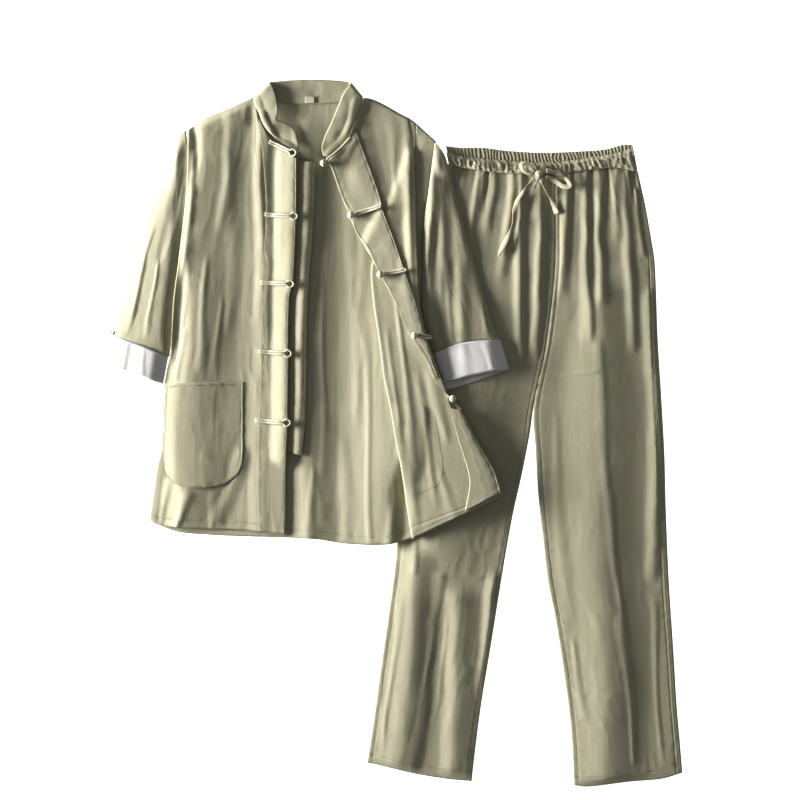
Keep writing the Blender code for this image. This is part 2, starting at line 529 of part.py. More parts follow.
def flap_columns(row):
    """Layout points of one section: three plies and the two folds."""
    s = row
    side, turn, roll, neck, mid, edge = (np.array(getattr(s, k), float) for k in
                                         ("side", "turn", "roll", "neck", "mid", "edge"))
    out3 = np.concatenate([between(side, turn, 2), [turn]])            # under ply
    in2 = between(turn, roll, 4)[1:]                                   # inner face up
    near_roll = [roll * 0.9 + turn * 0.1] if s.fold < 1 else []
    out1 = [roll, neck, mid, edge]
    return out3, in2, out1, near_roll


PLIES = dict(under=[0, 1, 2], inner=[4, 5, 6, 7], outer=[9, 10, 11, 12, 13])
APEX = dict(turn=3, roll=8)
rows_xy, folded, unrolled = [], [], []
for s in FLAP:
    side, turn, roll, neck, mid, edge = (np.array(getattr(s, k), float) for k in
                                         ("side", "turn", "roll", "neck", "mid", "edge"))
    width = max(np.linalg.norm(roll - turn), 1e-6)
    nip = 1.1 * s.fold
    to_roll = (roll - turn) / width
    t_in = turn + to_roll * min(nip, 0.3 * width)
    roll = roll - to_roll * 0.7 * s.fold * (1 - s.unroll)
    r_in = roll - to_roll * min(0.35 * s.fold, 0.3 * width)
    mid1 = (roll + neck) / 2
    to_neck = (neck - roll) / max(np.linalg.norm(neck - roll), 1e-6)
    r_out = roll + to_neck * 0.35 * s.fold if s.unroll == 0 else roll + (neck - roll) * 0.3
    under = [side, (side + t_in) / 2, t_in]
    inner = [t_in, t_in + (r_in - t_in) / 3, t_in + (r_in - t_in) * 2 / 3, r_in]
    outer = [r_out, (r_out + neck) / 2, neck, mid, edge]
    rows_xy.append(under + [turn] + inner + [roll] + outer)
    folded.append(s.fold)
    unrolled.append(s.unroll)
rows_xy = np.array(rows_xy)
# a second row between each two, so that the rolls stay smooth
fine = []
for c in range(rows_xy.shape[1]):
    s = np.r_[0, np.cumsum(np.linalg.norm(np.diff(rows_xy[:, c], axis=0), axis=1))]
    fine.append(smooth_line(rows_xy[:, c], s))
flap_xy = np.stack(fine, 1)
nvf, nuf = flap_xy.shape[0] - 1, flap_xy.shape[1] - 1
fold_f, roll_f = np.array(folded), np.array(unrolled)
bm, row, col, tris = grid_mesh(nuf, nvf)
lay_xy = flap_xy[row, col]
xy = metres(lay_xy)
z = np.zeros(len(xy))
up_folds = ridge(lay_xy, FOLDS["flap"])


def ply_tris(cols):
    return tris[np.isin(col[tris], cols).all(1)]


def pick(cols):
    return np.isin(col, cols)


keep_fold = fold_f[row]
keep_turn = keep_fold * (1 - roll_f[row])
# under ply
t3 = ply_tris(PLIES["under"])
z3 = lay(xy, t3, BELOW_FLAP, 0 * z)
z[pick(PLIES["under"])] = z3[pick(PLIES["under"])]
cover("flap_under", xy, z3, t3, keep=(keep_fold > 0.6) * 1.0)
# pocket patch on the outer face, hidden between the plies
pocket_l = patch(pts((403, 412), (404, 450), (411, 489)), pts((433, 417), (441, 467), (437, 484)),
                 pts((403, 412), (433, 417)), pts((411, 489), (424, 489.5), (437, 484)), 3, 4)
panel("pocket_left", pocket_l, BESIDE_FLAP + ["flap_under"])
# inner ply
t2 = ply_tris(PLIES["inner"])
z2 = lay(xy, t2, BESIDE_FLAP + ["flap_under", "pocket_left"], up_folds * keep_fold)
cover("flap_inner", xy, z2, t2)
TOPS["flap_mid"] = TOPS["flap_inner"].copy()
h = np.zeros((NX, NY))
TOPS["flap_turned"] = h
cover("flap_turned", xy, z2, t2, keep=(keep_turn > 0.6) * 1.0)
z[pick(PLIES["inner"])] = (z2 + WALL * keep_fold)[pick(PLIES["inner"])]
# outer ply, turned back over the inner one down to the place where it unrolls
t1 = ply_tris(PLIES["outer"])
z1 = lay(xy, t1, BESIDE_FLAP + ["flap_turned"], 0.0004 + up_folds * (1 - keep_fold))
stand_up = np.where(np.abs(roll_f[row] - 0.55) < 0.01,
                    (col - 8) / 5 * 0.0032 + 0.001, 0)
z1 = z1 + stand_up * pick(PLIES["outer"])
z[pick(PLIES["outer"])] = (z1 + WALL * roll_f[row])[pick(PLIES["outer"])]
for apex, (a, b) in {"turn": (2, 4), "roll": (7, 9)}.items():
    for r in range(nvf + 1):
        me = np.where((row == r) & (col == APEX[apex]))[0][0]
        za = z[np.where((row == r) & (col == a))[0][0]]
        zb = z[np.where((row == r) & (col == b))[0][0]]
        z[me] = (za + zb) / 2
cover("front_left", xy, z1, t1)
cover("front_left", xy, z2, t2)
for v, p, hgt in zip(bm.verts, xy, z):
    v.co = (p[0], p[1], hgt)
bm.normal_update()
shoulder = [f for f in bm.faces if all(row[v.index] <= 2 for v in f.verts) and
            all(col[v.index] in PLIES["outer"] for v in f.verts)]
finish_piece("jacket_front_left", bm, "sage", flip=sum(f.normal.z for f in shoulder) < 0)

band_l = patch(PLACKET_EDGE_L, PLACKET_SEAM_L,
               pts((328.4, 161.5), (339, 151.6), (349, 138.6), (354.3, 126)),
               pts((433.5, 378.5), (438.5, 378)), 3, 13)
panel("placket_left", band_l, ["front_left"], mat="sage")
facing = patch(FACING_L, FACING_R, pts((449.8, 408), (459.5, 409.5)),
               pts((464.5, 510.5), (482, 502), (500.6, 492)), 2, 6)
panel("facing_left", facing, ["front_left"])

# -------------------------------------------------------------- stand collar
sections = np.array([(s.sx, s.sy, s.fx, s.fy, s.rise, s.ply) for s in COLLAR], float)
ACROSS = 3
bm, row, col, tris = grid_mesh(len(COLLAR) - 1, ACROSS)
g_front = ground(["jacket_front_right", "front_left", "placket_right", "placket_left",
                  "jacket_back", "flap_inner"])
g_back = ground(["jacket_back"])
co = []
for r, c in zip(row, col):
    sx, sy, fx, fy, rise, ply = sections[c]
    k = r / ACROSS
    x, y = sx + (fx - sx) * k, sy + (fy - sy) * k
    mx, my = metres((x, y))
    i, j = cell(np.array([mx, my]))
    low = max(g_back[i, j], 0.0)
    high = max(g_front[i, j], 0.0038)
    bulge = math.sin(math.pi * k) * 0.0014
    co.append((mx, my, (1 - ply) * (low + WALL) + ply * (high + 0.0022) + rise * 0.001 * k ** 0.8 + bulge * ply))
for v, p in zip(bm.verts, co):
    v.co = p
bm.normal_update()
front_faces = [f for f in bm.faces if all(col[v.index] in (2, 3, 4, 5) for v in f.verts)]
finish_piece("collar", bm, "sage", flip=sum(f.normal.z for f in front_faces) < 0)
co = np.array(co)
back_cols = tris[np.isin(col[tris], range(9, 16)).all(1)]
cover("collar_back", co[:, :2], co[:, 2], back_cols)
front_cols = tris[(np.isin(col[tris], range(0, 8)) | np.isin(col[tris], range(17, 24))).all(1)]
cover("collar_front", co[:, :2], co[:, 2], front_cols)
panel("neck_label", patch(pts((305.4, 96), (305.4, 100)), pts((314.6, 96), (314.6, 100)),
                          pts((305.4, 96), (314.6, 96)), pts((305.4, 100), (314.6, 100)), 1, 1),
      ["collar_back"], mat="pale", wall=0.0006)


# ------------------------------------------------------------ frogs, strings
def cord(name, path, diameter, mat="cord", sides=1):
    cu = bpy.data.curves.new(name, "CURVE")
    cu.dimensions = "3D"
    sp = cu.splines.new("POLY")
    sp.points.add(len(path) - 1)
    for q, p in zip(sp.points, path):
        q.co = (*p, 1)
    cu.bevel_depth = diameter / 2
    cu.bevel_resolution = sides
    cu.use_fill_caps = True
    cu.resolution_u = 1
    cu.render_resolution_u = 0
    ob = bpy.data.objects.new(name, cu)
    GARMENT.objects.link(ob)
    cu.materials.append(MATS[mat])
    return ob


def rest_height(xy_layout, g, radius):
    """Lowest centre height of a cord lying at these points."""
    m = metres(xy_layout)
    out = []
    for p in m:
        best = 0
        for dx in (-radius, 0, radius):
            for dy in (-radius, 0, radius):
                i, j = cell(p + (dx, dy))
                best = max(best, g[i, j])
        out.append(best)
    return np.array(out)


gap_px = (CORD_D + 0.0005) / STEP
over_right = ground(["jacket_front_right", "placket_right", "underlap", "jacket_back"])
over_collar = ground(["jacket_front_right", "placket_right", "underlap", "jacket_back", "collar_front"])
over_left = ground(["front_left", "placket_left", "jacket_back", "collar_front", "jacket_front_right"]
                   + BESIDE_FLAP)
for n, lp in enumerate(LOOPS, 1):
    a, b = np.array([lp.x0, lp.y0]), np.array([lp.x1, lp.y1])
    d = (b - a) / np.linalg.norm(b - a)
    side = np.array([-d[1], d[0]])
    ring_r = 3.3
    c = b - d * ring_r
    neck = c - d * 3.4
    line = [a + side * gap_px / 2 + d * 1.0]
    line += [a + (neck - a) * k + side * gap_px / 2 for k in (0.3, 0.6, 0.9)]
    for k in range(11):
        t = math.radians(148 - k * 29.6)
        line.append(c + d * math.cos(t) * ring_r + side * math.sin(t) * ring_r)
    line += [a + (neck - a) * k - side * gap_px / 2 for k in (0.9, 0.6, 0.3)]
    line += [a - side * gap_px / 2 + d * 1.0]
    line = np.array(line)
    h = rest_height(line, over_right if n > 1 else over_collar, CORD_D / 2) + CORD_D / 2
    h = np.maximum(h, np.convolve(np.pad(h, 1, mode="edge"), [1 / 3] * 3, "valid"))
    cord(f"frog_loop_{n}", np.c_[metres(line), h], CORD_D)

for n, kn in enumerate(KNOTS, 1):
    ball = np.array([kn.ball])
    h = rest_height(ball, over_left, BALL_D * 0.45)[0] + BALL_D / 2
    bm = bmesh.new()
    bmesh.ops.create_uvsphere(bm, u_segments=10, v_segments=7, radius=BALL_D / 2)
    me = bpy.data.meshes.new(f"frog_ball_{n}")
    bm.to_mesh(me)
    bm.free()
    me.shade_smooth()
    ob = bpy.data.objects.new(f"frog_ball_{n}", me)
    ob.location = (*metres(ball)[0], h)
    GARMENT.objects.link(ob)
    me.materials.append(MATS["cord"])
    if kn.tail is None:
        continue
    way = smooth_line([kn.tail, kn.mid, kn.ball],
                      np.linspace(0, np.linalg.norm(np.subtract(kn.tail, kn.mid))
                                  + np.linalg.norm(np.subtract(kn.mid, kn.ball)), 7))
    d = np.gradient(way, axis=0)
    d /= np.linalg.norm(d, axis=1)[:, None]
    side = np.stack([-d[:, 1], d[:, 0]], 1) * gap_px / 2
    stop = way[-1] - d[-1] * 4.9
    keepn = np.linalg.norm(way - way[-1], axis=1) > 6.0
    w = np.vstack([way[keepn], stop])
    sd = np.vstack([side[keepn], side[-1]])
    turn_r = gap_px / 2
    bend = [way[0] - d[0] * turn_r * math.sin(t) + side[0] * math.cos(t) for t in
            (math.pi * 0.25, math.pi * 0.5, math.pi * 0.75)]
    line = np.vstack([(w + sd)[::-1], bend, w - sd])
    h = rest_height(line, over_left, CORD_D / 2) + CORD_D / 2
    h = np.maximum(h, np.convolve(np.pad(h, 1, mode="edge"), [1 / 3] * 3, "valid"))
    cord(f"frog_tail_{n}", np.c_[metres(line), h], CORD_D)

# small thread knot that tacks the right cuff to its sleeve
bm = bmesh.new()
bmesh.ops.create_uvsphere(bm, u_segments=8, v_segments=6, radius=0.0034)
me = bpy.data.meshes.new("cuff_tack")
bm.to_mesh(me)
bm.free()
ob = bpy.data.objects.new("cuff_tack", me)
ob.location = (*metres((109.4, 332.6)), 0.0034)
GARMENT.objects.link(ob)
me.materials.append(MATS["cord"])

over_t = ground(T_FRONT + ["waistband_front", "waistband_back"])
bm = bmesh.new()
bmesh.ops.create_uvsphere(bm, u_segments=10, v_segments=7, radius=0.5)
me = bpy.data.meshes.new("drawstring_knot")
knot_at = np.array([538.6, 174.2])
knot_z = rest_height(knot_at[None], over_t, 0.006)[0]
for v in bm.verts:
    v.co = (v.co.x * 0.0135, v.co.y * 0.0115, v.co.z * 0.0088)
bm.to_mesh(me)
bm.free()
ob = bpy.data.objects.new("drawstring_knot", me)
ob.location = (*metres(knot_at), knot_z + 0.0044)
GARMENT.objects.link(ob)
me.materials.append(MATS["cord"])

for name, route in STRING_ROUTES.items():
    p = np.array([(r.x, r.y) for r in route])
    lift = np.array([r.lift for r in route]) * 0.001
    n = 3 * (len(route) - 1)
    s = np.r_[0, np.cumsum(np.linalg.norm(np.diff(p, axis=0), axis=1))]
    at = np.linspace(0, s[-1], n + 1)
    line = smooth_line(p, at)
    up = np.interp(at, s, lift)
    d = np.gradient(line, axis=0)
    d /= np.linalg.norm(d, axis=1)[:, None]
    side = np.stack([-d[:, 1], d[:, 0]], 1) * TAPE_W / STEP / 2 * 0.62
    net = np.stack([line - side, line, line + side], 1)
    rise = np.stack([up, up + 0.0003, up], 1)
    panel(name, net, T_FRONT + ["waistband_front", "waistband_back"], mat="cord", rise=rise, wall=0.0010)
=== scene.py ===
# Looks of a tai chi uniform laid flat: jacket with its left front thrown open,
# over drawstring trousers. Layout steps of 1.6 mm, x right and y down the table.
import bpy
import math
import numpy as np
from collections import namedtuple
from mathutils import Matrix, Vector


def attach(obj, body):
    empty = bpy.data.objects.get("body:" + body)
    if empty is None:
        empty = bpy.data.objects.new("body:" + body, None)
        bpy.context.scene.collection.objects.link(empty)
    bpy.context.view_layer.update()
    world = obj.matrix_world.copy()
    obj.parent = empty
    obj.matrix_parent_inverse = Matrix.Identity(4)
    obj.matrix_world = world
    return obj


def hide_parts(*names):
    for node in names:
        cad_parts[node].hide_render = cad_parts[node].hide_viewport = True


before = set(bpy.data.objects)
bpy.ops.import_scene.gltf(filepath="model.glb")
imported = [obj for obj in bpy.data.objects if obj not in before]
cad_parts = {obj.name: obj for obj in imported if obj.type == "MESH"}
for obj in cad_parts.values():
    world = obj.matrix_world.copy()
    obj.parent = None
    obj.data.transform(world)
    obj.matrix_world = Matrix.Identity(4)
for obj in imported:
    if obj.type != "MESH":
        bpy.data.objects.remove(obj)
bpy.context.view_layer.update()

STEP = 0.0016
MID_X, MID_Y = 391.31, 433.0
CLOTH = 0.0006          # cloth with its hand, as the eye reads an edge
AIR = 0.0005
CELL = 0.002
HALF = (0.50, 0.60)
GRAIN = 0.0030          # spacing of the cloth meshes

Pt = namedtuple("Pt", "x y")
# a crease: from, to, how far it reaches on its left and right, height in mm
# (negative is a trough), and how soft its two ends are
Crease = namedtuple("Crease", "x0 y0 x1 y1 wl wr h soft", defaults=(0.2,))


def pts(*pairs):
    return [Pt(*p) for p in pairs]


# ------------------------------------------------------------------ outlines
SHOULDER_R = pts((187.5, 130.0), (202, 119.5), (228.5, 108), (244, 101), (254.5, 97.5))
SIDE_R = pts((187.5, 130.0), (187.5, 156), (186.5, 190), (183, 223), (178.5, 261),
             (173.5, 300), (170.5, 350), (164.5, 383), (161.5, 449), (157.5, 462),
             (148.5, 521))
NECK_R = pts((254.5, 97.5), (258.5, 114), (268.6, 135.5), (283, 147.5), (298, 158))
FRONT_EDGE_R = pts((298, 158), (297, 215), (294, 280), (290, 300), (288.5, 416),
                   (286.5, 466), (285.7, 535.5))
HEM_R = pts((148.5, 521), (160, 525.5), (206, 529), (247, 530.5), (285.7, 535.5))
PLACKET_SEAM_R = pts((258.9, 118), (263.5, 165), (266, 212), (262, 285), (261, 350), (259, 420),
                     (258, 492), (259, 531))
BACK_TOP = pts((189, 131.5), (228, 110), (256, 98), (282, 101), (308, 102), (335, 101),
               (360.5, 98), (400, 113.5), (435, 142.5))
BACK_LEFT = pts((189, 131.5), (190.5, 156), (189.5, 190), (186, 223), (181.5, 261), (176.5, 300),
                (172.5, 350), (165, 383), (162, 449), (158.5, 462), (151.5, 522))
BACK_RIGHT = pts((435, 142.5), (430.0, 185), (425.0, 223), (423.0, 269), (422.5, 300), (422.5, 350),
                 (423, 390), (434, 470), (444, 524))
BACK_HEM = pts((151.5, 522), (176, 531.7), (210, 535), (243, 536.5), (285, 537.7),
               (317, 539.4), (344.6, 543.7), (384, 544.6), (408, 539.4), (444, 524))
UNDERLAP_L = pts((289, 160.5), (286, 300), (284, 416), (283.5, 449.5))
UNDERLAP_R = pts((315.5, 162), (314, 217), (308, 300), (305.6, 416), (301.4, 456))
POCKET_TOP = pts((166.5, 385), (178, 383.6), (232.6, 381.5), (242.6, 382))
POCKET_L = pts((166.5, 385), (163.8, 449), (163.6, 462), (166, 476))
POCKET_R = pts((242.6, 382), (242.4, 430), (241.7, 462), (236.5, 475))
POCKET_BOTTOM = pts((166, 476), (175, 484.2), (196, 487.5), (223, 484), (236.5, 475))

Section = namedtuple("Section", "side turn roll neck mid edge fold unroll")
FLAP = [
    Section(Pt(436, 141.5), Pt(416, 123), Pt(409, 118), Pt(362.5, 98), Pt(350, 133.5), Pt(328, 160.5), 0.0, 0.0),
    Section(Pt(433, 158), Pt(414.6, 150), Pt(413.4, 149.5), Pt(376, 146), Pt(357, 154), Pt(331.5, 169), 0.5, 0.0),
    Section(Pt(429.5, 186), Pt(405, 183), Pt(415.3, 186), Pt(387, 185), Pt(364, 188), Pt(338.6, 189), 1.0, 0.0),
    Section(Pt(424.6, 224), Pt(389.5, 222), Pt(416.2, 224), Pt(396.5, 225), Pt(375, 226), Pt(353, 225), 1.0, 0.0),
    Section(Pt(422, 264), Pt(372, 263), Pt(417.8, 264), Pt(404, 264), Pt(389, 264), Pt(374, 263), 1.0, 0.0),
    Section(Pt(420, 300), Pt(373, 300), Pt(419.2, 300), Pt(411, 300), Pt(402.5, 300), Pt(393.5, 300), 1.0, 0.0),
    Section(Pt(420.5, 334), Pt(378, 334), Pt(426, 334), Pt(420, 334), Pt(414.3, 334), Pt(408.5, 334), 1.0, 0.0),
    Section(Pt(421.5, 360), Pt(381.5, 360), Pt(434.6, 360), Pt(431.4, 360), Pt(428.2, 360), Pt(425, 360), 1.0, 0.0),
    Section(Pt(423, 380), Pt(384, 380), Pt(442, 380), Pt(439.4, 380.6), Pt(436.9, 381), Pt(434.4, 381.4), 1.0, 0.0),
    Section(Pt(425, 398), Pt(388, 398), Pt(449, 398), Pt(449.7, 398.3), Pt(450.4, 398.6), Pt(451, 399), 1.0, 0.55),
    Section(Pt(427, 414), Pt(391, 413), Pt(454.5, 411.5), Pt(457, 411), Pt(459.2, 410.5), Pt(461.5, 410), 1.0, 1.0),
    Section(Pt(430, 441), Pt(395.3, 440), Pt(469, 444), Pt(472, 443), Pt(475, 442), Pt(478, 441), 1.0, 1.0),
    Section(Pt(434, 472), Pt(401.5, 472), Pt(484.5, 474.5), Pt(488, 473), Pt(491.5, 471.5), Pt(495, 470), 1.0, 1.0),
    Section(Pt(437, 500), Pt(406.5, 506), Pt(488.5, 489.5), Pt(492.3, 487.3), Pt(496.2, 485), Pt(500, 483), 1.0, 1.0),
    Section(Pt(440, 523), Pt(412, 539), Pt(491, 500.7), Pt(495, 498.2), Pt(499, 495.6), Pt(503, 493), 1.0, 1.0),
]
PLACKET_SEAM_L = pts((354.3, 126), (366, 158), (379, 194), (383.5, 212), (394, 240), (405, 273),
                     (415.2, 303), (422.3, 330), (431.4, 358), (438.5, 378))
PLACKET_EDGE_L = pts((328.4, 161.5), (332, 169), (343, 200), (350.7, 214), (355.7, 232),
                     (368.7, 250), (378.6, 272), (390.6, 293), (406.6, 330), (425.6, 360), (433.5, 378.5))
FACING_L = pts((449.8, 408), (458, 440), (469, 480), (464.5, 510.5))
FACING_R = pts((459.5, 409.5), (476.4, 441), (493.4, 470.5), (500.6, 492))

SLEEVE_R_OUT = pts((185.6, 129.6), (175, 141), (168.6, 172), (157, 194), (141, 239),
                   (128.8, 284), (116.5, 321), (112, 334.4))
SLEEVE_R_IN = pts((184.4, 226), (179.8, 262), (175.0, 300), (171.2, 340), (169.0, 357))
ARMHOLE_R = pts((185.6, 129.6), (188.9, 156), (187.9, 190), (184.4, 226))
SLEEVE_R_END = pts((112, 334.4), (139, 344.9), (169.0, 357))
CUFF_R_OUT = pts((111.9, 334.2), (104, 351), (100, 363))
CUFF_R_IN = pts((168, 356.6), (165.4, 371), (162.8, 384.3))
CUFF_R_TOP = pts((111.9, 334.2), (139, 344.5), (168, 356.6))
CUFF_R_END = pts((100, 363), (139.7, 376), (162.4, 384.3))

SLEEVE_L_OUT = pts((434.8, 141.0), (445.2, 157), (459, 208), (468, 240), (480, 280),
                   (483.5, 294), (496, 333), (500, 340))
SLEEVE_L_IN = pts((422.0, 262), (420.6, 285), (420.8, 312), (424.0, 330), (433.0, 352.8))
ARMHOLE_L = pts((434.8, 141.0), (429.0, 186), (424.0, 224), (422.0, 262))
SLEEVE_L_END = pts((500, 340), (477, 341), (457, 344), (433.2, 352.8))
CUFF_L_OUT = pts((500.4, 339.8), (505, 355), (509, 369))
CUFF_L_IN = pts((433.0, 353.0), (439, 370), (446, 390.5))
CUFF_L_IN_UP = pts((433.0, 353.0), (437.8, 368), (443.5, 381.5))
CUFF_L_TOP = pts((500.4, 339.8), (477, 340.8), (457, 344.0), (433.0, 353.0))
CUFF_L_FRONT = pts((509, 369), (487.6, 372), (466, 376.7), (455, 379.6), (443.5, 381.5))
CUFF_L_BACK = pts((509, 369), (477, 381), (446, 390.5))

SIDE_T_R = pts((447.0, 163.5), (441, 180), (433, 220), (425, 280), (419, 350), (415, 400),
               (410, 450), (397, 546), (392.4, 585), (381, 665), (372, 730), (366.7, 763))
INNER_T_R = pts((555.6, 173.0), (555.9, 225), (555.2, 270), (546.6, 345), (533.6, 407), (529.7, 434),
                (522, 474), (513, 514), (506, 552), (499.6, 591), (490.6, 647), (481.7, 701),
                (475, 752), (471.7, 781.5))
TOP_T_R = pts((447.0, 163.5), (470, 168.4), (494, 171.5), (519, 172.9), (555.6, 173.0))
HEM_T_R = pts((366.7, 763), (379, 765.4), (417, 774.4), (446, 779), (471.7, 781.5))
INNER_T_L = pts((555.6, 173.0), (555.9, 225), (555.2, 270), (546.6, 345), (533.9, 407), (536, 452),
                (538.6, 496), (542.4, 534), (547.5, 580), (555, 618), (564, 674), (571, 730),
                (574, 785.5))
SIDE_T_L = pts((637.9, 171.2), (645, 203), (651.6, 240), (655, 263.5), (658, 340), (661.4, 396),
               (664.7, 456), (666, 507), (669, 580), (673.7, 652), (677, 707), (680, 741),
               (682.6, 773))
TOP_T_L = pts((555.6, 173.0), (568.7, 171.5), (597, 168.3), (618, 167.1), (637.9, 171.2))
HEM_T_L = pts((574, 785.5), (586.6, 787), (629, 782), (662.5, 779), (682.6, 773))
BAND_TOP = pts((446, 152), (468, 156.7), (509.7, 160), (541.6, 162), (565.5, 160.7),
               (597, 156), (621, 151), (633, 147))
BAND_END = pts((449, 165), (470, 169), (494, 172.2), (519, 173.7), (549.6, 173.7),
               (568.7, 172.3), (597, 169.2), (618, 168), (637.5, 172))
BAND_BACK_TOP = pts((446, 145.5), (462, 147), (482.6, 147), (506.5, 150), (541.6, 152),
                    (573.5, 151), (605, 148.7), (623, 144), (632.5, 144))
BAND_BACK_END = pts((449.5, 164.4), (494, 171), (549.6, 172.4), (597, 168), (637, 171))

# ----------------------------------------------------------------- creases
CREASES = {
    "front_right": [
        Crease(206, 262, 200, 372, 9, 12, 1.2), Crease(190, 235, 181, 330, 8, 10, 1.2),
        Crease(221, 300, 214, 375, 8, 8, 0.9), Crease(184, 330, 176, 380, 6, 9, 1.2),
        Crease(246, 452, 215, 525, 8, 11, 1.9), Crease(215, 492, 211, 529, 9, 9, 1.0),
        Crease(189, 492, 176, 527, 8, 9, 1.8), Crease(168, 480, 161, 522, 7, 8, 1.2),
        Crease(236, 215, 228, 330, 9, 12, 0.9)],
    "back": [
        Crease(352, 190, 356, 420, 9, 12, 1.0), Crease(368, 150, 362, 300, 8, 10, 1.2),
        Crease(364, 330, 372, 545, 10, 10, 1.2), Crease(324, 300, 322, 470, 7, 7, 0.8),
        Crease(344, 440, 346, 545, 9, 9, 1.0), Crease(312, 470, 309, 545, 8, 9, 1.0)],
    "sleeve_right": [
        Crease(176, 196, 160, 262, 7, 7, -1.2), Crease(152, 230, 130, 318, 8, 8, 1.2),
        Crease(146, 262, 127, 334, 7, 7, 1.0), Crease(158, 262, 147, 336, 6, 6, 0.9)],
    "sleeve_left": [
        Crease(446, 260, 452, 340, 6, 7, 0.9), Crease(470, 230, 488, 335, 8, 9, 1.0)],
    "cuff_right": [
        Crease(128, 343, 122, 372, 8, 8, 1.0), Crease(144, 350, 141, 378, 6, 6, 0.7)],
    "cuff_left": [
        Crease(462, 345, 466, 378, 9, 9, 0.9), Crease(486, 342, 492, 371, 8, 8, 0.8)],
    "flap": [
        Crease(398, 300, 416, 520, 9, 10, 1.3), Crease(388, 330, 402, 470, 6, 8, 1.0),
        Crease(418, 380, 436, 500, 8, 9, 1.3), Crease(430, 372, 446, 440, 7, 9, 1.4),
        Crease(404, 440, 416, 530, 7, 7, 1.0), Crease(440, 470, 455, 520, 8, 8, 1.0)],
    "underlap": [],
    "chest_left": [
        Crease(392, 122, 396, 190, 9, 9, 0.8)],
    "trousers_right": [
        Crease(540, 232, 532, 343, 3, 3, 0.7), Crease(441.5, 573, 434.8, 618, 9, 7, 1.2, 0.1),
        Crease(434.8, 618, 426, 685, 9, 7, 1.3, 0.1), Crease(426, 685, 413.6, 774, 9, 8, 1.3, 0.1),
        Crease(415.8, 540, 414, 574, 5, 5, 1.0), Crease(400, 600, 384, 745, 9, 9, 1.0),
        Crease(446, 620, 440, 700, 5, 6, 0.9)],
    "trousers_left": [
        Crease(597.8, 340, 609, 492, 9, 5, 0.9, 0.1), Crease(609, 492, 622, 618, 9, 5, 0.9, 0.1),
        Crease(622, 618, 634.6, 763, 9, 6, 1.2, 0.1), Crease(562, 376, 598, 371, 2.4, 2.4, 0.9),
        Crease(556, 420, 566, 640, 10, 12, 1.0), Crease(653, 600, 662, 760, 8, 8, 1.0),
        Crease(572, 640, 585, 720, 6, 7, 1.2), Crease(635.7, 188, 645, 256, 7, 1.3, 1.5, 0.06)],
}

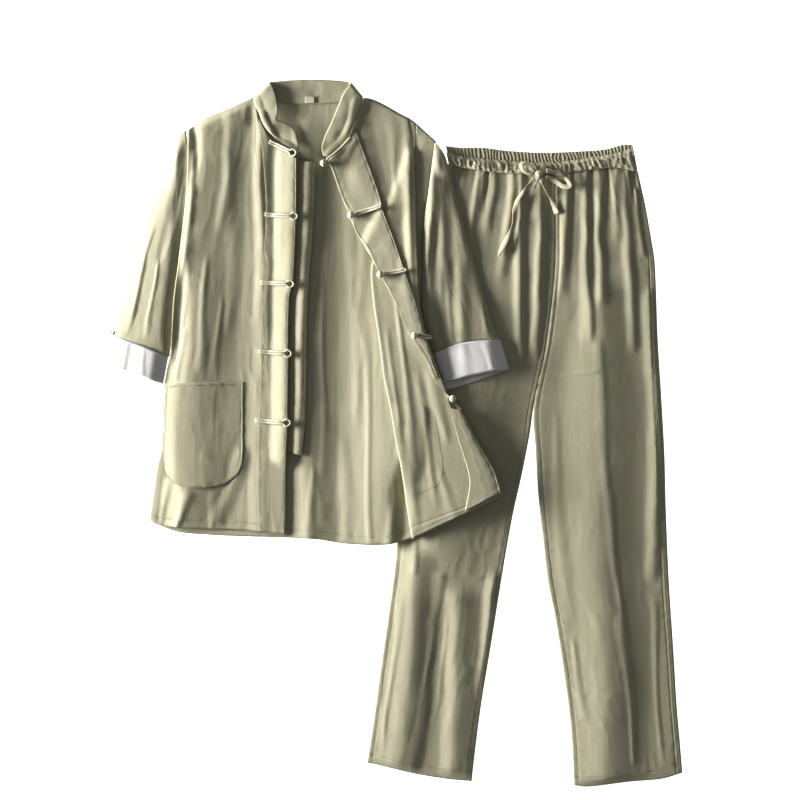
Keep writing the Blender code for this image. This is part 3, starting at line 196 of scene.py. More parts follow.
# broad swells: crest from top to bottom, its reach to the left and right, its
# height in mm along the way, and how far the ends die out
SWELL_H = 0.0016
Swell = namedtuple("Swell", "path left right h fade", defaults=(18,))
SWELLS = {
    "front_right": [
        Swell([(202, 118), (203, 150), (201, 175), (196, 200), (192, 225), (190, 262), (192, 300),
               (193, 345), (188, 380), (184, 420), (182, 460), (184, 500), (178, 528)],
              [12, 12, 12, 12, 11, 12, 18, 22, 26, 22, 18, 22, 16],
              [44, 44, 44, 48, 52, 54, 50, 46, 50, 54, 56, 50, 44],
              [3.2, 3.8, 4.2, 4.6, 4.8, 5.0, 5.2, 5.4, 5.4, 5.2, 5.0, 4.6, 3.6]),
        Swell([(259.5, 112), (260.5, 160), (261.5, 212), (262, 285), (261, 350), (259, 420), (258, 531)],
              [9, 9, 9, 9, 10, 12, 12], [7, 7, 7, 7, 7, 7, 7], [1.6, 2.0, 2.0, 1.7, 1.0, 0.9, 1.2]),
        Swell([(229, 118), (229, 160), (227, 190), (222, 220)], [8, 8, 8, 8], [14, 14, 14, 14], [1.0, 1.3, 1.3, 0.8]),
        Swell([(290, 162), (289, 215), (286, 300), (285, 416), (283, 466), (282, 530)],
              [20, 20, 18, 18, 20, 20], [9] * 6, [0.4, 0.5, 0.5, 0.5, 0.8, 0.8]),
        Swell([(244, 100), (244, 118)], [44, 44], [9, 9], [1.6, 1.8], 16)],
    "underlap": [
        Swell([(307.5, 162), (306, 217), (301.5, 300), (299, 416), (295, 456)], [13] * 5, [9] * 5, [2.0] * 5)],
    "back": [
        Swell([(306, 130), (308, 300), (308, 545)], [20] * 3, [28, 30, 30], [2.2, 3.0, 2.8]),
        Swell([(404, 130), (404, 250), (404, 330), (404, 400), (398, 445), (390, 480), (386, 540)],
              [66, 64, 64, 66, 62, 54, 50], [22, 22, 22, 22, 20, 17, 17],
              [1.0, 2.6, 6.0, 7.8, 7.6, 6.8, 5.6]),
        Swell([(431, 140), (427, 185), (423, 225), (421, 262)], [10, 9, 7, 5], [8] * 4, [2.0, 2.4, 2.0, 0.6])],
    "sleeve_right": [
        Swell([(179, 140), (173, 200), (169, 240), (163, 290), (160, 334)], [9, 15, 25, 35, 43],
              [8, 11, 12, 12, 12], [1.6, 2.0, 2.2, 2.3, 2.3])],
    "cuff_right": [Swell([(155, 340), (149, 385)], [44, 42], [12, 12], [2.2, 2.2])],
    "sleeve_left": [
        Swell([(434.5, 150), (432, 185), (430, 225), (428, 262), (428.5, 300), (431, 345)],
              [7] * 6, [9] * 6, [2.6, 3.0, 3.0, 2.4, 1.6, 1.2]),
        Swell([(441, 190), (442, 240), (442, 290)], [8] * 3, [9] * 3, [1.2, 1.4, 1.2]),
        Swell([(459, 272), (461, 340)], [8] * 2, [11] * 2, [1.3, 1.5])],
    "cuff_left": [Swell([(492, 340), (498, 385)], [46, 46], [10, 10], [1.5, 1.8])],
    "chest_left": [
        Swell([(354.3, 110), (366, 158), (379, 194), (394, 240), (405, 273), (415.2, 303), (422.3, 330)],
              [22, 22, 20, 18, 16, 14, 12], [15, 15, 14, 12, 9, 6, 5], [1.3, 1.5, 1.3, 0.7, 0.4, 0.3, 0.2]),
        Swell([(412, 118), (411.5, 150), (410, 185), (409, 215), (410.5, 245), (412.5, 290)],
              [11, 10, 9, 8, 8, 8], [6, 7, 7, 7, 6, 6], [1.0, 1.7, 1.8, 1.5, 1.0, 0.7])],
    "trousers_right": [
        Swell([(494, 172), (493, 195), (488, 222)], [6, 6, 7], [6, 6, 7], [2.0, 2.0, 1.2]),
        Swell([(513, 172), (512, 200), (508, 235), (502, 268)], [7, 7, 7, 8], [6, 6, 7, 8], [2.0, 2.3, 2.0, 1.0]),
        Swell([(521, 176), (521, 240), (520, 300), (522, 352)], [6, 8, 8, 8], [5, 6, 7, 7], [1.6, 2.2, 2.4, 1.8]),
        Swell([(541, 176), (541, 230), (540, 290), (536, 345)], [9, 10, 10, 9], [6, 6, 6, 6], [2.0, 2.3, 2.2, 1.5]),
        Swell([(480, 172), (474, 205), (468, 240)], [6, 7, 8], [7, 8, 9], [2.2, 2.0, 1.0]),
        Swell([(480, 330), (466, 400), (450, 460), (440, 530), (440, 580)], [34] * 5, [52, 62, 62, 60, 50],
              [3.0, 5.0, 5.5, 5.0, 2.0], 40),
        Swell([(414, 560), (413, 600), (411, 650), (409, 700), (404, 740), (399, 765)],
              [17, 20, 24, 28, 30, 30], [24] * 6, [3.6, 4.2, 4.2, 4.0, 3.8, 3.6]),
        Swell([(457, 600), (456, 650), (455, 700), (452, 765)], [15] * 4, [24] * 4, [2.4, 2.8, 2.8, 2.4]),
        Swell([(493, 585), (489, 640), (484, 690)], [10, 11, 10], [5, 6, 5], [1.8, 2.2, 1.4])],
    "trousers_left": [
        Swell([(549, 182), (550, 240), (548, 300), (545, 340)], [6, 7, 7, 7], [6, 7, 8, 8], [1.6, 1.8, 1.6, 1.0]),
        Swell([(566, 190), (566, 225), (561, 285)], [7, 8, 8], [8, 9, 9], [1.8, 2.1, 1.2]),
        Swell([(586, 172), (587, 250), (590, 330)], [7, 8, 12], [5, 5, 6], [2.0, 2.0, 1.5]),
        Swell([(598, 172), (599, 240), (601, 292)], [6, 7, 7], [8, 8, 9], [2.1, 2.1, 1.6]),
        Swell([(617, 172), (617, 195), (616, 232)], [6, 7, 8], [7, 8, 8], [1.8, 1.8, 1.0]),
        Swell([(624, 176), (628, 232), (632, 290), (634, 340)], [8] * 4, [8] * 4, [1.6, 1.8, 1.8, 1.2]),
        Swell([(600, 300), (599, 340), (599, 400), (600, 480), (600, 560), (604, 620), (606, 680), (606, 772)],
              [22, 34, 42, 46, 48, 42, 36, 32], [28, 40, 46, 46, 46, 46, 44, 44],
              [2.6, 4.0, 4.6, 4.6, 4.8, 5.2, 5.4, 4.6], 30),
        Swell([(650, 300), (656, 400), (657, 500), (652, 570)], [11] * 4, [9] * 4, [1.4, 1.8, 1.8, 1.2])],
}

Loop = namedtuple("Loop", "x0 y0 x1 y1")
LOOPS = [Loop(269.5, 141.5, 296, 155), Loop(265, 214.5, 297.5, 217),
         Loop(261, 282.5, 293.8, 284.5), Loop(259, 351.5, 291.5, 354),
         Loop(255, 420.5, 290.5, 423)]
Knot = namedtuple("Knot", "ball tail mid")
KNOTS = [Knot(Pt(323.5, 163.5), Pt(350.5, 139.5), Pt(338, 152.5)),
         Knot(Pt(351, 215.5), Pt(379.5, 207), Pt(366, 211)),
         Knot(Pt(380.3, 275), Pt(405, 270.5), Pt(393, 272.8)),
         Knot(Pt(414.4, 336), Pt(430, 337.5), Pt(422, 336)),
         Knot(Pt(452.4, 398.6), None, None)]
CORD_D, BALL_D, TAPE_W = 0.0034, 0.0112, 0.0078

Stand = namedtuple("Stand", "sx sy fx fy rise ply")
COLLAR = [
    Stand(298.2, 153.6, 299, 142.0, 2.0, 1), Stand(289.5, 148.2, 293.5, 129, 2.6, 1),
    Stand(279.5, 141.2, 284, 122, 3.2, 1), Stand(269.6, 132.6, 277, 119.5, 5.0, 1),
    Stand(263.4, 124, 278.4, 111, 5.5, 1), Stand(258.8, 112.4, 277.4, 102, 5.0, 1),
    Stand(254.2, 103.8, 275.5, 93, 4.0, 1), Stand(254, 98, 271.5, 84, 3.0, 1),
    Stand(253.6, 96.4, 269.6, 82.6, 2.4, 0.5),
    Stand(256, 97.4, 272.5, 81.6, 0, 0), Stand(271, 101.2, 284, 80.2, 0, 0),
    Stand(289, 103, 297, 79.4, 0, 0), Stand(308, 103.6, 310, 79, 0, 0),
    Stand(327, 103, 324, 79.4, 0, 0), Stand(345, 101.2, 337, 80.2, 0, 0),
    Stand(360, 97.4, 348.5, 81.6, 0, 0),
    Stand(362.6, 96.4, 351, 82.8, 2.4, 0.5),
    Stand(362, 98.2, 349.5, 85, 2.2, 1), Stand(360, 106, 343.5, 93, 2.6, 1),
    Stand(356.6, 116.5, 338, 106.5, 3.6, 1), Stand(351.2, 129, 331.5, 122, 4.6, 1),
    Stand(344.6, 140.4, 325, 136, 4.2, 1), Stand(337, 149.4, 321.6, 148, 3.4, 1),
    Stand(330, 157.6, 323.4, 156, 2.2, 1)]

Route = namedtuple("Route", "x y lift")
STRING_ROUTES = {
    "drawstring_loop_right": [Route(531.5, 171, 2.5), Route(525.5, 164, 4.5), Route(521, 165.5, 5),
                              Route(523.5, 171.5, 2.4), Route(531.8, 175.5, 1.2)],
    "drawstring_loop_left": [Route(545.5, 171.5, 1.8), Route(556, 173.5, 3), Route(566, 179, 4.5),
                             Route(569.8, 186.5, 4.5), Route(563, 186.5, 2.5), Route(553, 179.5, 1.5),
                             Route(545.8, 176.5, 0.8)],
    "drawstring_end_right": [Route(534.5, 178.5, 0.4), Route(526, 189, 0.6), Route(518, 200, 0.6),
                             Route(514.6, 211, 0.6), Route(513.6, 224, 0.6), Route(507, 239, 0.6),
                             Route(498.5, 256, 0.6)],
    "drawstring_end_left": [Route(541, 179.5, 0.4), Route(546, 189, 0.6), Route(551.5, 200, 0.6),
                            Route(557, 213.5, 0.6)],
}


# ------------------------------------------------------------------- helpers
def table(rows):
    return np.array([(r[0], r[1]) for r in rows], float)


def metres(xy):
    xy = np.asarray(xy, float)
    return np.stack([(xy[..., 0] - MID_X) * STEP, (MID_Y - xy[..., 1]) * STEP], -1)


def chord(p):
    return np.r_[0, np.cumsum(np.linalg.norm(np.diff(p, axis=0), axis=1))]


def smooth_line(p, at):
    """Smooth curve through the points p at parameters at, in chord lengths."""
    p = np.asarray(p, float)
    at = np.asarray(at, float)
    s = chord(p)
    if len(p) == 2:
        k = (at / s[-1])[:, None]
        return p[0] * (1 - k) + p[1] * k
    m = np.zeros_like(p)
    m[1:-1] = (p[2:] - p[:-2]) / (s[2:] - s[:-2])[:, None]
    m[0] = (p[1] - p[0]) / (s[1] - s[0])
    m[-1] = (p[-1] - p[-2]) / (s[-1] - s[-2])
    i = np.clip(np.searchsorted(s, at, side="right") - 1, 0, len(s) - 2)
    h = s[i + 1] - s[i]
    t = (at - s[i]) / h
    t, h = t[:, None], h[:, None]
    return ((2 * t**3 - 3 * t**2 + 1) * p[i] + (t**3 - 2 * t**2 + t) * h * m[i]
            + (-2 * t**3 + 3 * t**2) * p[i + 1] + (t**3 - t**2) * h * m[i + 1])


def at_parts(rows, parts):
    p = table(rows)
    return smooth_line(p, np.asarray(parts) * chord(p)[-1])


def patch(left, right, top, bottom, us, vs):
    le, ri = at_parts(left, vs), at_parts(right, vs)
    to, bo = at_parts(top, us), at_parts(bottom, us)
    u, v = us[None, :, None], vs[:, None, None]
    corners = ((1 - u) * (1 - v) * to[0] + u * (1 - v) * to[-1]
               + (1 - u) * v * bo[0] + u * v * bo[-1])
    return (1 - u) * le[:, None] + u * ri[:, None] + (1 - v) * to[None] + v * bo[None] - corners


def spaced(length, marks=(), grain=GRAIN, near=0.0011):
    """Even parts of a length in metres, closer together beside the marks."""
    n = max(2, int(round(length / grain)))
    t = np.linspace(0, 1, n + 1)
    for m in marks:
        d = np.array([-2.4, -1.2, -0.5, 0, 0.5, 1.2, 2.4]) * near / length
        t = t[np.abs(t - m) > 3.0 * near / length]
        t = np.sort(np.r_[t, np.clip(m + d, 0, 1)])
    t = np.unique(np.round(np.r_[0, t, 1], 7))
    return t


def size_of(left, right, top, bottom):
    a = (chord(table(left))[-1] + chord(table(right))[-1]) / 2 * STEP
    b = (chord(table(top))[-1] + chord(table(bottom))[-1]) / 2 * STEP
    return b, a


def step01(t):
    t = np.clip(t, 0, 1)
    return t * t * (3 - 2 * t)


def lattice(ix, iy, seed):
    h = (ix.astype(np.int64) * 374761393 + iy.astype(np.int64) * 668265263 + seed * 144269504) & 0xFFFFFFFF
    h = ((h ^ (h >> 13)) * 1274126177) & 0xFFFFFFFF
    h = ((h ^ (h >> 15)) * 2246822519) & 0xFFFFFFFF
    return ((h ^ (h >> 16)) & 0xFFFF) / 32767.5 - 1.0


def vnoise(x, y, seed):
    """Smooth noise from -1 to 1 on a unit lattice."""
    ix, iy = np.floor(x), np.floor(y)
    fx, fy = x - ix, y - iy
    fx = fx**3 * (fx * (fx * 6 - 15) + 10)
    fy = fy**3 * (fy * (fy * 6 - 15) + 10)
    a, b = lattice(ix, iy, seed), lattice(ix + 1, iy, seed)
    c, d = lattice(ix, iy + 1, seed), lattice(ix + 1, iy + 1, seed)
    return (a * (1 - fx) + b * fx) * (1 - fy) + (c * (1 - fx) + d * fx) * fy


def crinkle(cu, cv, seed, amount=1.0):
    """Soft wrinkles of washed cotton and linen, along the grain, in metres."""
    warp = vnoise(cu / 0.03, cv / 0.05, seed) * 0.006 + vnoise(cu / 0.012, cv / 0.02, seed + 1) * 0.002
    x = cu + warp
    sharp = 1 - np.abs(vnoise(x / 0.0135, cv / 0.045, seed + 2))
    fine = 1 - np.abs(vnoise(x / 0.0085, cv / 0.030, seed + 3))
    cross = 1 - np.abs(vnoise(cu / 0.040, (cv + warp * 2) / 0.014, seed + 4))
    patchy = step01(0.42 + 0.9 * vnoise(cu / 0.055, cv / 0.08, seed + 5))
    patchy2 = step01(0.40 + 0.9 * vnoise(cu / 0.04, cv / 0.06, seed + 9))
    broad = vnoise(x / 0.040, cv / 0.14, seed + 6)
    z = 0.00075 * sharp**3 * patchy + 0.00036 * fine**3 * patchy2 + 0.00020 * cross**4 * (1 - 0.6 * patchy)
    return amount * (0.6 * z + 0.0007 * (broad + 1) * 0.5)


def crease_field(xy, creases):
    """Sum of the listed creases at layout points, in metres."""
    z = np.zeros(xy.shape[:-1])
    for f in creases:
        a, b = np.array([f.x0, f.y0], float), np.array([f.x1, f.y1], float)
        d = b - a
        length = np.hypot(*d)
        t = ((xy - a) @ d) / length**2
        # a soft bend, so that no crease is ruled straight
        bend = 0.035 * length * np.sin(np.pi * np.clip(t, 0, 1) * 1.6 + f.x0 * 0.7) * 0.5
        off = -((xy - a) @ np.array([-d[1], d[0]])) / length + bend * 0.6
        w = np.where(off < 0, f.wl, f.wr) * (0.8 + 0.4 * np.sin(2.2 * t + f.y0))
        w = np.abs(w)
        cross = np.where(np.abs(off) < w, 0.5 + 0.5 * np.cos(np.pi * np.clip(np.abs(off) / w, 0, 1)), 0)
        ends = step01((t + f.soft * 0.5) / f.soft) * step01((1 + f.soft * 0.5 - t) / f.soft)
        z += f.h * 0.001 * cross * ends
    return z


def curve(t, knots, values):
    """Smooth curve through values at rising knots, level past its ends."""
    k, v = np.asarray(knots, float), np.asarray(values, float)
    m = np.gradient(v, k) if len(k) > 2 else np.full(len(k), (v[-1] - v[0]) / (k[-1] - k[0]))
    t = np.clip(t, k[0], k[-1])
    i = np.clip(np.searchsorted(k, t, side="right") - 1, 0, len(k) - 2)
    h = k[i + 1] - k[i]
    q = (t - k[i]) / h
    return ((2 * q**3 - 3 * q**2 + 1) * v[i] + (q**3 - 2 * q**2 + q) * h * m[i]
            + (-2 * q**3 + 3 * q**2) * v[i + 1] + (q**3 - q**2) * h * m[i + 1])


def swell_field(xy, swells, seed=5):
    """Broad swells at layout points, in metres: smooth crests and long flanks."""
    z = np.zeros(xy.shape[:-1])
    x, y = xy[..., 0], xy[..., 1]
    for n, s in enumerate(swells):
        py = [p[1] for p in s.path]
        cx = curve(y, py, [p[0] for p in s.path]) + 1.3 * vnoise(y / 26, 0 * y, seed + n)
        off = x - cx
        wl, wr = np.interp(y, py, s.left), np.interp(y, py, s.right)
        t = np.abs(off) / np.where(off < 0, wl, wr)
        top = np.sqrt(t * t + 0.03) - math.sqrt(0.03)
        roof = np.clip(1 - top / (math.sqrt(1.03) - math.sqrt(0.03)), 0, 1)
        wave = 0.5 + 0.5 * np.cos(np.pi * np.clip(t, 0, 1))
        prof = 0.5 * roof**1.15 + 0.5 * wave
        ends = step01((y - py[0] + s.fade) / s.fade) * step01((py[-1] + s.fade - y) / s.fade)
        z += curve(y, py, s.h) * SWELL_H * prof * ends
    return z


# ------------------------------------------------------------- ply on ply
NX, NY = int(2 * HALF[0] / CELL), int(2 * HALF[1] / CELL)
TOPS = {}


def grow(h, n):
    for _ in range(n):
        a = h.copy()
        a[1:] = np.maximum(a[1:], h[:-1])
        a[:-1] = np.maximum(a[:-1], h[1:])
        b = a.copy()
        b[:, 1:] = np.maximum(b[:, 1:], a[:, :-1])
        b[:, :-1] = np.maximum(b[:, :-1], a[:, 1:])
        h = b
    return h


def blur(h, n):
    for _ in range(n):
        p = np.pad(h, 1, mode="edge")
        h = (p[:-2, 1:-1] + p[1:-1, 1:-1] + p[2:, 1:-1]) / 3
        p = np.pad(h, 1, mode="edge")
        h = (p[1:-1, :-2] + p[1:-1, 1:-1] + p[1:-1, 2:]) / 3
    return h


def ground(names, soft=2):
    h = np.zeros((NX, NY))
    for n in names:
        if n in TOPS:
            h = np.maximum(h, TOPS[n])
    h = np.where(h > 0, h + AIR, 0.0)
    h = grow(h, 1)
    return blur(grow(h, soft), soft)


def sample(h, xy):
    x = np.clip((xy[..., 0] + HALF[0]) / CELL - 0.5, 0, NX - 1.001)
    y = np.clip((xy[..., 1] + HALF[1]) / CELL - 0.5, 0, NY - 1.001)
    i, j = x.astype(int), y.astype(int)
    fx, fy = x - i, y - j
    return ((h[i, j] * (1 - fx) + h[i + 1, j] * fx) * (1 - fy)
            + (h[i, j + 1] * (1 - fx) + h[i + 1, j + 1] * fx) * fy)


def cover(name, grid, keep=None):
    """Note the top of a laid grid of points (rows, columns, xyz)."""
    g = grid
    k = np.ones(g.shape[:2]) if keep is None else keep * np.ones(g.shape[:2])
    for _ in range(2):
        h = np.zeros((g.shape[0] * 2 - 1, g.shape[1] * 2 - 1, 3))
        m = np.zeros(h.shape[:2])
        h[::2, ::2], m[::2, ::2] = g, k
        h[1::2, ::2], m[1::2, ::2] = (g[1:] + g[:-1]) / 2, (k[1:] + k[:-1]) / 2
        h[:, 1::2], m[:, 1::2] = (h[:, 2::2] + h[:, :-2:2]) / 2, (m[:, 2::2] + m[:, :-2:2]) / 2
        g, k = h, m
    g, k = g.reshape(-1, 3), k.reshape(-1)
    g = g[k > 0.4]
    top = TOPS.setdefault(name, np.zeros((NX, NY)))
    i = np.clip(((g[:, 0] + HALF[0]) / CELL).astype(int), 0, NX - 1)
    j = np.clip(((g[:, 1] + HALF[1]) / CELL).astype(int), 0, NY - 1)
    np.maximum.at(top, (i, j), g[:, 2])


def edge_fade(nv, nu, us, vs, width, length, sides=(1, 1, 1, 1), reach=0.012):
    """0 at the chosen edges (left, right, top, bottom), 1 inside."""
    f = np.ones((nv, nu))
    if sides[0]:
        f *= step01(us[None] * width / reach)
    if sides[1]:
        f *= step01((1 - us[None]) * width / reach)
    if sides[2]:
        f *= step01(vs[:, None] * length / reach)
    if sides[3]:
        f *= step01((1 - vs[:, None]) * length / reach)
    return f


CLOTHES = bpy.data.collections.new("clothes")
bpy.context.scene.collection.children.link(CLOTHES)


def grid_object(name, grid, uv, mat, wall=CLOTH, offset=1.0, closed=False):
    """A mesh of quads over a grid of points, with a cloth wall."""
    nv, nu = grid.shape[:2]
    cols = nu - 1 if closed else nu
    verts = grid[:, :cols].reshape(-1, 3)
    r, c = np.meshgrid(np.arange(nv - 1), np.arange(nu - 1), indexing="ij")
    c2 = (c + 1) % cols if closed else c + 1
    quads = np.stack([r * cols + c, (r + 1) * cols + c, (r + 1) * cols + c2, r * cols + c2], -1).reshape(-1, 4)
    me = bpy.data.meshes.new(name)
    me.vertices.add(len(verts))
    me.vertices.foreach_set("co", verts.ravel())
    me.loops.add(quads.size)
    me.loops.foreach_set("vertex_index", quads.ravel().astype(np.int32))
    me.polygons.add(len(quads))
    me.polygons.foreach_set("loop_start", np.arange(0, quads.size, 4, dtype=np.int32))
    me.update(calc_edges=True)
    layer = me.uv_layers.new(name="cloth")
    corner = np.stack([uv[:-1, :-1], uv[1:, :-1], uv[1:, 1:], uv[:-1, 1:]], 2).reshape(-1, 2)
    layer.data.foreach_set("uv", corner.ravel())
    me.polygons.foreach_set("use_smooth", np.ones(len(quads), bool))
    me.update()
    me.validate()
    ob = bpy.data.objects.new(name + "_visual", me)
    CLOTHES.objects.link(ob)
    me.materials.append(mat)
    if wall:
        sol = ob.modifiers.new("cloth_wall", "SOLIDIFY")
        sol.thickness = wall
        sol.offset = offset
        sol.use_rim = True
    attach(ob, "root")
    return ob


def as_grid(xy_m, z):
    return np.concatenate([xy_m, z[..., None]], -1)


def panel(name, node, edges, on, mat, soft=3, creases=None, seed=1, marks_u=(), marks_v=(),
          amount=1.0, fade=(1, 1, 1, 1), relief=None, lift=0.0, wall=CLOTH, grain=GRAIN,
          scallop=0.0):
    width, length = size_of(*edges)
    us = spaced(width, [m / width if m > 0 else 1 + m / width for m in marks_u], grain)
    vs = spaced(length, [m / length if m > 0 else 1 + m / length for m in marks_v], grain)
    lay_xy = patch(*edges, us, vs)
    xy = metres(lay_xy)
    cu, cv = us[None] * width + 0 * vs[:, None], vs[:, None] * length + 0 * us[None]
    f = edge_fade(len(vs), len(us), us, vs, width, length, fade)
    z = sample(ground(on, soft), xy)
    up = crinkle(cu, cv, seed, amount)
    broad = 0
    if creases:
        c = crease_field(lay_xy, CREASES[creases])
        up = up + c - min(0.0, float((c * f).min()))
        broad = swell_field(lay_xy, SWELLS.get(creases, []), seed)
    if relief is not None:
        bunch = relief(cu, cv, width, length, lay_xy)
        up = up + bunch
        if scallop:   # the gathered edge is not a ruled one
            xy = xy + np.stack([0 * bunch, scallop * (bunch - bunch.mean()) * (1 - cv / length)**2], -1)
    z = z + up * (0.12 + 0.88 * f) + broad * (0.25 + 0.75 * f) + lift
    for m in marks_v:   # sewn lines across: a soft groove with small puckers
        d = cv - (m if m > 0 else length + m)
        z += (-0.00035 * np.exp(-(d / 0.0011)**2)
              + 0.00016 * np.sin(cu / 0.0031 + 2 * vnoise(cu / 0.02, d * 0, seed)) * np.exp(-(d / 0.004)**2))
    for m in marks_u:
        d = cu - (m if m > 0 else width + m)
        z += (-0.00035 * np.exp(-(d / 0.0011)**2)
              + 0.00022 * np.sin(cv / 0.0034 + 2 * vnoise(cv / 0.02, d * 0, seed)) * np.exp(-(d / 0.004)**2))
    z = np.maximum(z, sample(ground(on, 1), xy) - AIR * 0.4)
    g = as_grid(xy, z)
    cover(node, g + [0, 0, wall])
    ob = grid_object(name, g, np.stack([cu, cv], -1), mat, wall)
    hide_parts(node)
    return ob, g


def tube(name, node, lower, upper, on, mat, creases=None, seed=1, lift=0.0, inset=0.0022,
         fold_n=5, amount=1.0, marks_v=(), puff=0.002, wall=CLOTH, extra=0.0):
    """A flattened tube; column 0 on the outer fold and the last on the inner."""
    width, length = size_of(*lower)
    us = spaced(width)
    vs = spaced(length, [m / length if m > 0 else 1 + m / length for m in marks_v])
    lo, up = patch(*lower, us, vs), patch(*upper, us, vs)
    both = []
    for g in (lo, up):
        mid = g.mean(1, keepdims=True)
        span = np.linalg.norm(g[:, -1:] - g[:, :1], axis=2, keepdims=True) * STEP
        both.append(mid + (g - mid) * (1 - 2 * inset / span))
    lo_m, up_m = metres(both[0]), metres(both[1])
    cu, cv = us[None] * width + 0 * vs[:, None], vs[:, None] * length + 0 * us[None]
    z_lo = sample(ground(on, 3), lo_m)
    g_lo = as_grid(lo_m, z_lo)
    cover(node + ".lower", g_lo + [0, 0, wall])
    f = edge_fade(len(vs), len(us), us, vs, width, length, (1, 1, 0, 0), 0.016)
    arch = np.sqrt(np.clip(1 - (2 * us[None] - 1)**2, 0, 1))
    c = crease_field(both[1], CREASES[creases]) if creases else 0 * cu
    c = c - min(0.0, float((c * f).min()))
    if creases:
        c = c + swell_field(both[1], SWELLS.get(creases, []), seed)
    z_up = (sample(ground(list(on) + [node + ".lower"], 3), up_m) + (crinkle(cu, cv, seed, amount) + c) * (0.1 + 0.9 * f)
            + puff * arch + 0.0008 + extra)
    for m in marks_v:
        d = cv - (m if m > 0 else length + m)
        z_up += -0.0004 * np.exp(-(d / 0.0012)**2)
    g_up = as_grid(up_m, z_up)
    cover(node, g_up + [0, 0, wall])
    cover(node, g_lo)
    turn = np.linspace(0, math.pi, fold_n + 2)[1:-1]
    rim_in = metres((lo[:, -1] + up[:, -1]) / 2)
    rim_out = metres((lo[:, 0] + up[:, 0]) / 2)

    def fold(a, b, rim, ts):
        mid = (a + b) / 2
        outp = np.concatenate([rim, mid[:, 2:]], 1) - mid
        return np.stack([mid + (a - mid) * math.cos(t) + outp * math.sin(t) for t in ts], 1)

    top = g_up + [0, 0, wall]
    ring = np.concatenate([g_lo, fold(g_lo[:, -1], top[:, -1], rim_in, turn), top[:, ::-1],
                           fold(top[:, 0], g_lo[:, 0], rim_out, turn), g_lo[:, :1]], 1)
    round_u = np.concatenate([cu, cu[:, -1:] + np.linspace(0.001, 0.004, fold_n)[None],
                              2 * width + 0.005 - cu[:, ::-1],
                              2 * width + 0.005 + np.linspace(0.001, 0.004, fold_n)[None] + 0 * cu[:, :1],
                              2 * width + 0.01 + 0 * cu[:, :1]], 1)
    round_v = np.concatenate([cv] + [cv[:, :1]] * fold_n + [cv[:, ::-1]] + [cv[:, :1]] * fold_n + [cv[:, :1]], 1)
    # outward: the lower ply faces down
    a = ring[len(vs) // 2]
    turnsign = np.cross(ring[1, 1] - ring[0, 1], ring[0, 2] - ring[0, 1])[2]
    if turnsign > 0:   # quads are wound down a column first: this faces up
        ring, round_u, round_v = ring[:, ::-1], round_u[:, ::-1], round_v[:, ::-1]
    ob = grid_object(name, ring, np.stack([round_u, round_v], -1), mat, wall, offset=-1.0, closed=True)
    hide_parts(node)
    return ob, g_up


# ----------------------------------------------------------------- materials
def new_material(name):
    mat = bpy.data.materials.new(name)
    mat.use_nodes = True
    nt = mat.node_tree
    nt.nodes.clear()
    out = nt.nodes.new("ShaderNodeOutputMaterial")
    bsdf = nt.nodes.new("ShaderNodeBsdfPrincipled")
    nt.links.new(bsdf.outputs[0], out.inputs[0])
    return mat, nt, bsdf


def node(nt, kind, **values):
    n = nt.nodes.new(kind)
    for k, v in values.items():
        if k in n.inputs:
            n.inputs[k].default_value = v
        else:
            setattr(n, k, v)
    return n


